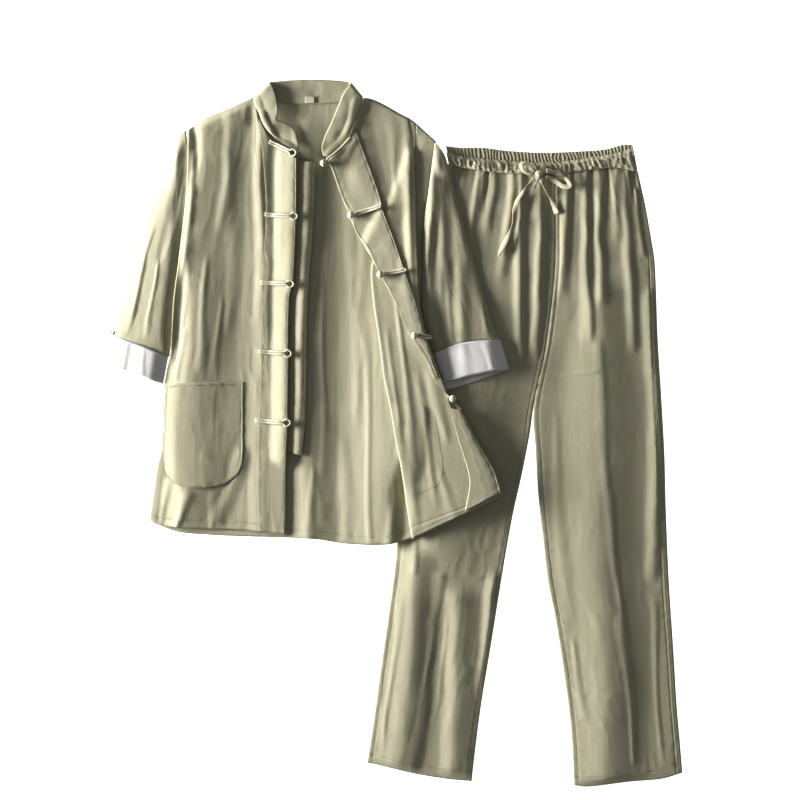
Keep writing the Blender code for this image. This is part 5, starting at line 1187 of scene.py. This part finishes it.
for n, kn in enumerate(KNOTS, 1):
    ball = np.array([kn.ball], float)
    z0 = rest_height(ball, over_left, BALL_D * 0.3)[0] + BALL_D * 0.44
    centre_b = np.array([*metres(ball)[0], z0])
    th, ph = np.linspace(0, math.pi, 37), np.linspace(0, 2 * math.pi, 57)
    T2, P2 = np.meshgrid(th, ph, indexing="ij")
    # strands of a button knot: bands that pass over and under each other
    w1 = np.abs(np.sin(2.0 * T2 + 1.5 * P2 + 0.6))
    w2 = np.abs(np.sin(2.0 * T2 - 1.5 * P2 + 0.4))
    rr = BALL_D / 2 * (0.88 + 0.13 * np.maximum(w1, w2)**0.7)
    ringp = np.stack([rr * np.sin(T2) * np.cos(P2), rr * np.sin(T2) * np.sin(P2), rr * np.cos(T2) * 0.92], -1)
    ringp[0], ringp[-1] = ringp[0].mean(0), ringp[-1].mean(0)
    uvb = np.stack([P2 * 0.005, T2 * 0.005], -1)
    ob = grid_object(f"frog_ball_{n}", ringp + centre_b, uvb, CORD, wall=0, closed=True)
    b2 = bmesh.new()
    b2.from_mesh(ob.data)
    bmesh.ops.remove_doubles(b2, verts=b2.verts, dist=1e-7)
    bmesh.ops.recalc_face_normals(b2, faces=b2.faces)
    b2.to_mesh(ob.data)
    b2.free()
    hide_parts(f"frog_ball_{n}")
    if kn.tail is None:
        continue
    p = np.array([kn.tail, kn.mid, kn.ball], float)
    way = smooth_line(p, np.linspace(0, chord(p)[-1], 30))
    d = np.gradient(way, axis=0)
    d /= np.linalg.norm(d, axis=1)[:, None]
    side = np.stack([-d[:, 1], d[:, 0]], 1) * gap_px / 2
    keepn = np.linalg.norm(way - way[-1], axis=1) > 4.2
    w, sd = way[keepn], side[keepn]
    turn_r = gap_px / 2
    bend = [way[0] - d[0] * turn_r * math.sin(t) + side[0] * math.cos(t)
            for t in np.linspace(0.2, math.pi - 0.2, 7)]
    line = even_path(np.vstack([(w + sd)[::-1], bend, w - sd]), 90)
    z = level(line, over_left, CORD_D / 2)
    ob = tube_mesh(f"frog_tail_{n}", as_grid(metres(line), z), CORD_D / 2, CORD, twist=900, ridge=0.16)
    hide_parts(f"frog_tail_{n}")

# thread knot on the right cuff
tk = metres(np.array([109.8, 332.4]))
ths = np.linspace(0, 2 * math.pi * 2.2, 60)
zt = sample(ground(["sleeve_right", "cuff_right"], 1), tk[None])[0]
coil = np.stack([tk[0] + 0.0021 * np.cos(ths), tk[1] + 0.0021 * np.sin(ths), 0.0030 + 0.0011 * np.sin(ths * 1.5)], 1)
ob = tube_mesh("cuff_tack", coil, 0.0011, CORD, sides=10, twist=1500, ridge=0.12)
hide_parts("cuff_tack")

# --------------------------------------------------------------- drawstring
over_t = ground(["trousers_front_right", "trousers_front_left", "waistband_front", "waistband_back"], 1)
knot_at = np.array([[538.6, 174.2]])
kz = rest_height(knot_at, over_t, 0.004)[0] + 0.0038
th, ph = np.linspace(0, math.pi, 31), np.linspace(0, 2 * math.pi, 49)
T2, P2 = np.meshgrid(th, ph, indexing="ij")
rr = 1 - 0.10 * np.abs(np.cos(1.5 * P2 + 1.2 * np.sin(T2 * 2))) ** 3
kp = np.stack([0.0062 * rr * np.sin(T2) * np.cos(P2), 0.0052 * rr * np.sin(T2) * np.sin(P2),
               0.0040 * rr * np.cos(T2)], -1)
kp[0], kp[-1] = kp[0].mean(0), kp[-1].mean(0)
knot = grid_object("drawstring_knot", kp + [*metres(knot_at)[0], kz], np.stack([P2 * 0.004, T2 * 0.004], -1), TAPE,
                   wall=0, closed=True)
b2 = bmesh.new()
b2.from_mesh(knot.data)
bmesh.ops.remove_doubles(b2, verts=b2.verts, dist=1e-7)
bmesh.ops.recalc_face_normals(b2, faces=b2.faces)
b2.to_mesh(knot.data)
b2.free()
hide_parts("drawstring_knot")

for name, route in STRING_ROUTES.items():
    p = np.array([(r.x, r.y) for r in route])
    lift = np.array([r.lift for r in route]) * 0.001
    s = chord(p)
    n = int(s[-1] * STEP / 0.0012)
    at_s = np.linspace(0, s[-1], n + 1)
    line = smooth_line(p, at_s)
    up = np.interp(at_s, s, lift)
    d = np.gradient(line, axis=0)
    d /= np.linalg.norm(d, axis=1)[:, None]
    half = TAPE_W / STEP / 2 * 0.92
    across = np.linspace(-1, 1, 9)
    if name == "drawstring_end_right":
        narrow = np.clip((s[-1] - at_s) / 5.0, 0.12, 1)
    else:
        narrow = np.ones(n + 1)
    twistv = 0.85 + 0.15 * np.cos(at_s / 6.0)
    side = np.stack([-d[:, 1], d[:, 0]], 1)
    xy = line[:, None] + side[:, None] * (across[None] * half * (narrow * twistv)[:, None])[..., None]
    m = metres(xy)
    base = sample(over_t, m)
    base = np.maximum(base, base.mean(1, keepdims=True))
    lean = 0.0013 * np.sin(at_s / 7.5 + len(name))[:, None] * across[None]
    z = base + up[:, None] + 0.0006 * (1 - across[None]**2) + 0.0004 + np.abs(lean).max() * 0.6 + lean * narrow[:, None]
    g = as_grid(m, z)
    uvt = np.stack([across[None] * 0.004 + 0 * at_s[:, None], at_s[:, None] * STEP + 0 * across[None]], -1)
    if np.cross(g[1, 4] - g[0, 4], g[0, 5] - g[0, 4])[2] < 0:
        g, uvt = g[:, ::-1], uvt[:, ::-1]
    ob = grid_object(name, g, uvt, TAPE, 0.0009, 1.0)
    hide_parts(name)

# ------------------------------------------------------------------ stitches
def offset_line(rows, px):
    """The line through rows, moved px to its left as it runs on."""
    p = table(rows)
    d = np.gradient(p, axis=0)
    d /= np.linalg.norm(d, axis=1)[:, None]
    return p + np.stack([d[:, 1], -d[:, 0]], 1) * px


def stitches(name, lines, over, pitch=0.0030, long=0.0019, thick=0.00030, mat=THREADM, up=0.0001):
    """Rows of short sewn stitches lying on the cloth, one mesh."""
    h = np.zeros((NX, NY))
    for n in over:
        h = np.maximum(h, TOPS[n])
    verts, faces = [], []
    th = np.linspace(0, 2 * math.pi, 6, endpoint=False)
    for line in lines:
        p = np.asarray(line, float)
        total = chord(p)[-1]
        n = max(2, int(total * STEP / pitch))
        a = smooth_line(p, (np.arange(n) + 0.15) / n * total)
        b = smooth_line(p, np.clip((np.arange(n) + 0.15) / n * total + long / STEP, 0, total))
        am, bm_ = metres(a), metres(b)
        za, zb = sample(h, am) + up, sample(h, bm_) + up
        for q in range(n):
            A, B = np.array([*am[q], za[q]]), np.array([*bm_[q], zb[q]])
            d = (B - A) / max(np.linalg.norm(B - A), 1e-9)
            s1 = np.cross(d, [0, 0, 1.0])
            s1 /= max(np.linalg.norm(s1), 1e-9)
            s2 = np.cross(s1, d)
            base = len(verts)
            for k2, (c2, r2, dz) in enumerate(((A, 0.25, -0.6), (A + (B - A) * 0.2, 1, 0.4), (A + (B - A) * 0.8, 1, 0.4), (B, 0.25, -0.6))):
                for t2 in th:
                    verts.append(c2 + thick * r2 * (s1 * math.cos(t2) + s2 * math.sin(t2)) + np.array([0, 0, thick * dz]))
            for k2 in range(3):
                for m2 in range(6):
                    m3 = (m2 + 1) % 6
                    faces.append((base + k2 * 6 + m2, base + k2 * 6 + m3, base + (k2 + 1) * 6 + m3, base + (k2 + 1) * 6 + m2))
            faces.append(tuple(base + m2 for m2 in reversed(range(6))))
            faces.append(tuple(base + 18 + m2 for m2 in range(6)))
    me = bpy.data.meshes.new(name)
    me.from_pydata([tuple(v) for v in verts], [], faces)
    me.polygons.foreach_set("use_smooth", np.ones(len(faces), bool))
    me.materials.append(mat)
    me.update()
    ob = bpy.data.objects.new(name, me)
    CLOTHES.objects.link(ob)
    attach(ob, "root")
    return ob


FR = ["jacket_front_right", "placket_right", "pocket_right"]
stitches("front_right_stitches", [
    offset_line(PLACKET_SEAM_R, 0.9), offset_line([(p.x - 2.0, p.y) for p in FRONT_EDGE_R[1:]], 0.0),
    [(p.x, p.y - 7.6) for p in HEM_R], offset_line(POCKET_L, -1.6), offset_line(POCKET_R, 1.6),
    [(p.x, p.y + 2.6) for p in POCKET_TOP], [(p.x, p.y - 1.7) for p in POCKET_BOTTOM],
    offset_line(SIDE_R[1:5], -1.6)], FR)
stitches("underlap_stitches", [offset_line([(p.x - 2.0, p.y) for p in UNDERLAP_R], 0)], ["underlap"])
stitches("back_stitches", [[(p.x, p.y - 8.0) for p in BACK_HEM[3:9]]], ["jacket_back"])
inner_hem = [(p.x, p.y) for p in pts((415.5, 531), (440, 519), (470, 507), (499, 489.5))]
stitches("front_left_stitches", [
    inner_hem, pts((434, 414), (438.5, 440), (442, 467), (438, 483), (424, 490.5), (404, 495)),
    offset_line(PLACKET_SEAM_L, 1.2), [(p.x + 2.0, p.y + 0.3) for p in PLACKET_EDGE_L[1:]],
    offset_line(FACING_L, -1.2)], ["front_left", "placket_left", "facing_left"])
stitches("sleeve_stitches", [
    offset_line(ARMHOLE_L[:4], -1.7), [(p.x, p.y - 1.6) for p in SLEEVE_L_END[0:3]],
    offset_line(ARMHOLE_R[:4], 1.7)], ["sleeve_left", "sleeve_right"])
stitches("cuff_stitches", [[(p.x, p.y - 2.2) for p in CUFF_L_FRONT], [(p.x, p.y + 2.0) for p in CUFF_L_TOP[1:]],
                           [(p.x, p.y - 2.2) for p in CUFF_R_END], [(p.x, p.y + 2.0) for p in CUFF_R_TOP]],
         ["cuff_left", "cuff_right"], mat=WHITE)
TF = ["trousers_front_right", "trousers_front_left"]
stitches("trousers_stitches", [
    [(p.x, p.y - 9.0) for p in HEM_T_R], [(p.x, p.y - 9.0) for p in HEM_T_L],
    offset_line(SIDE_T_L[1:], -4.4), offset_line(SIDE_T_R[7:], 4.2),
    offset_line(INNER_T_R[5:], -4.0), offset_line(INNER_T_L[5:], 4.0),
    offset_line(INNER_T_L[0:5], 2.2), pts((637.8, 189), (647.2, 256)), pts((632.6, 188), (642.2, 256))], TF)
stitches("waistband_stitches", [
    [(p.x, p.y + 4.2) for p in BAND_TOP], [(p.x, p.y - 4.6) for p in BAND_END]], ["waistband_front"])
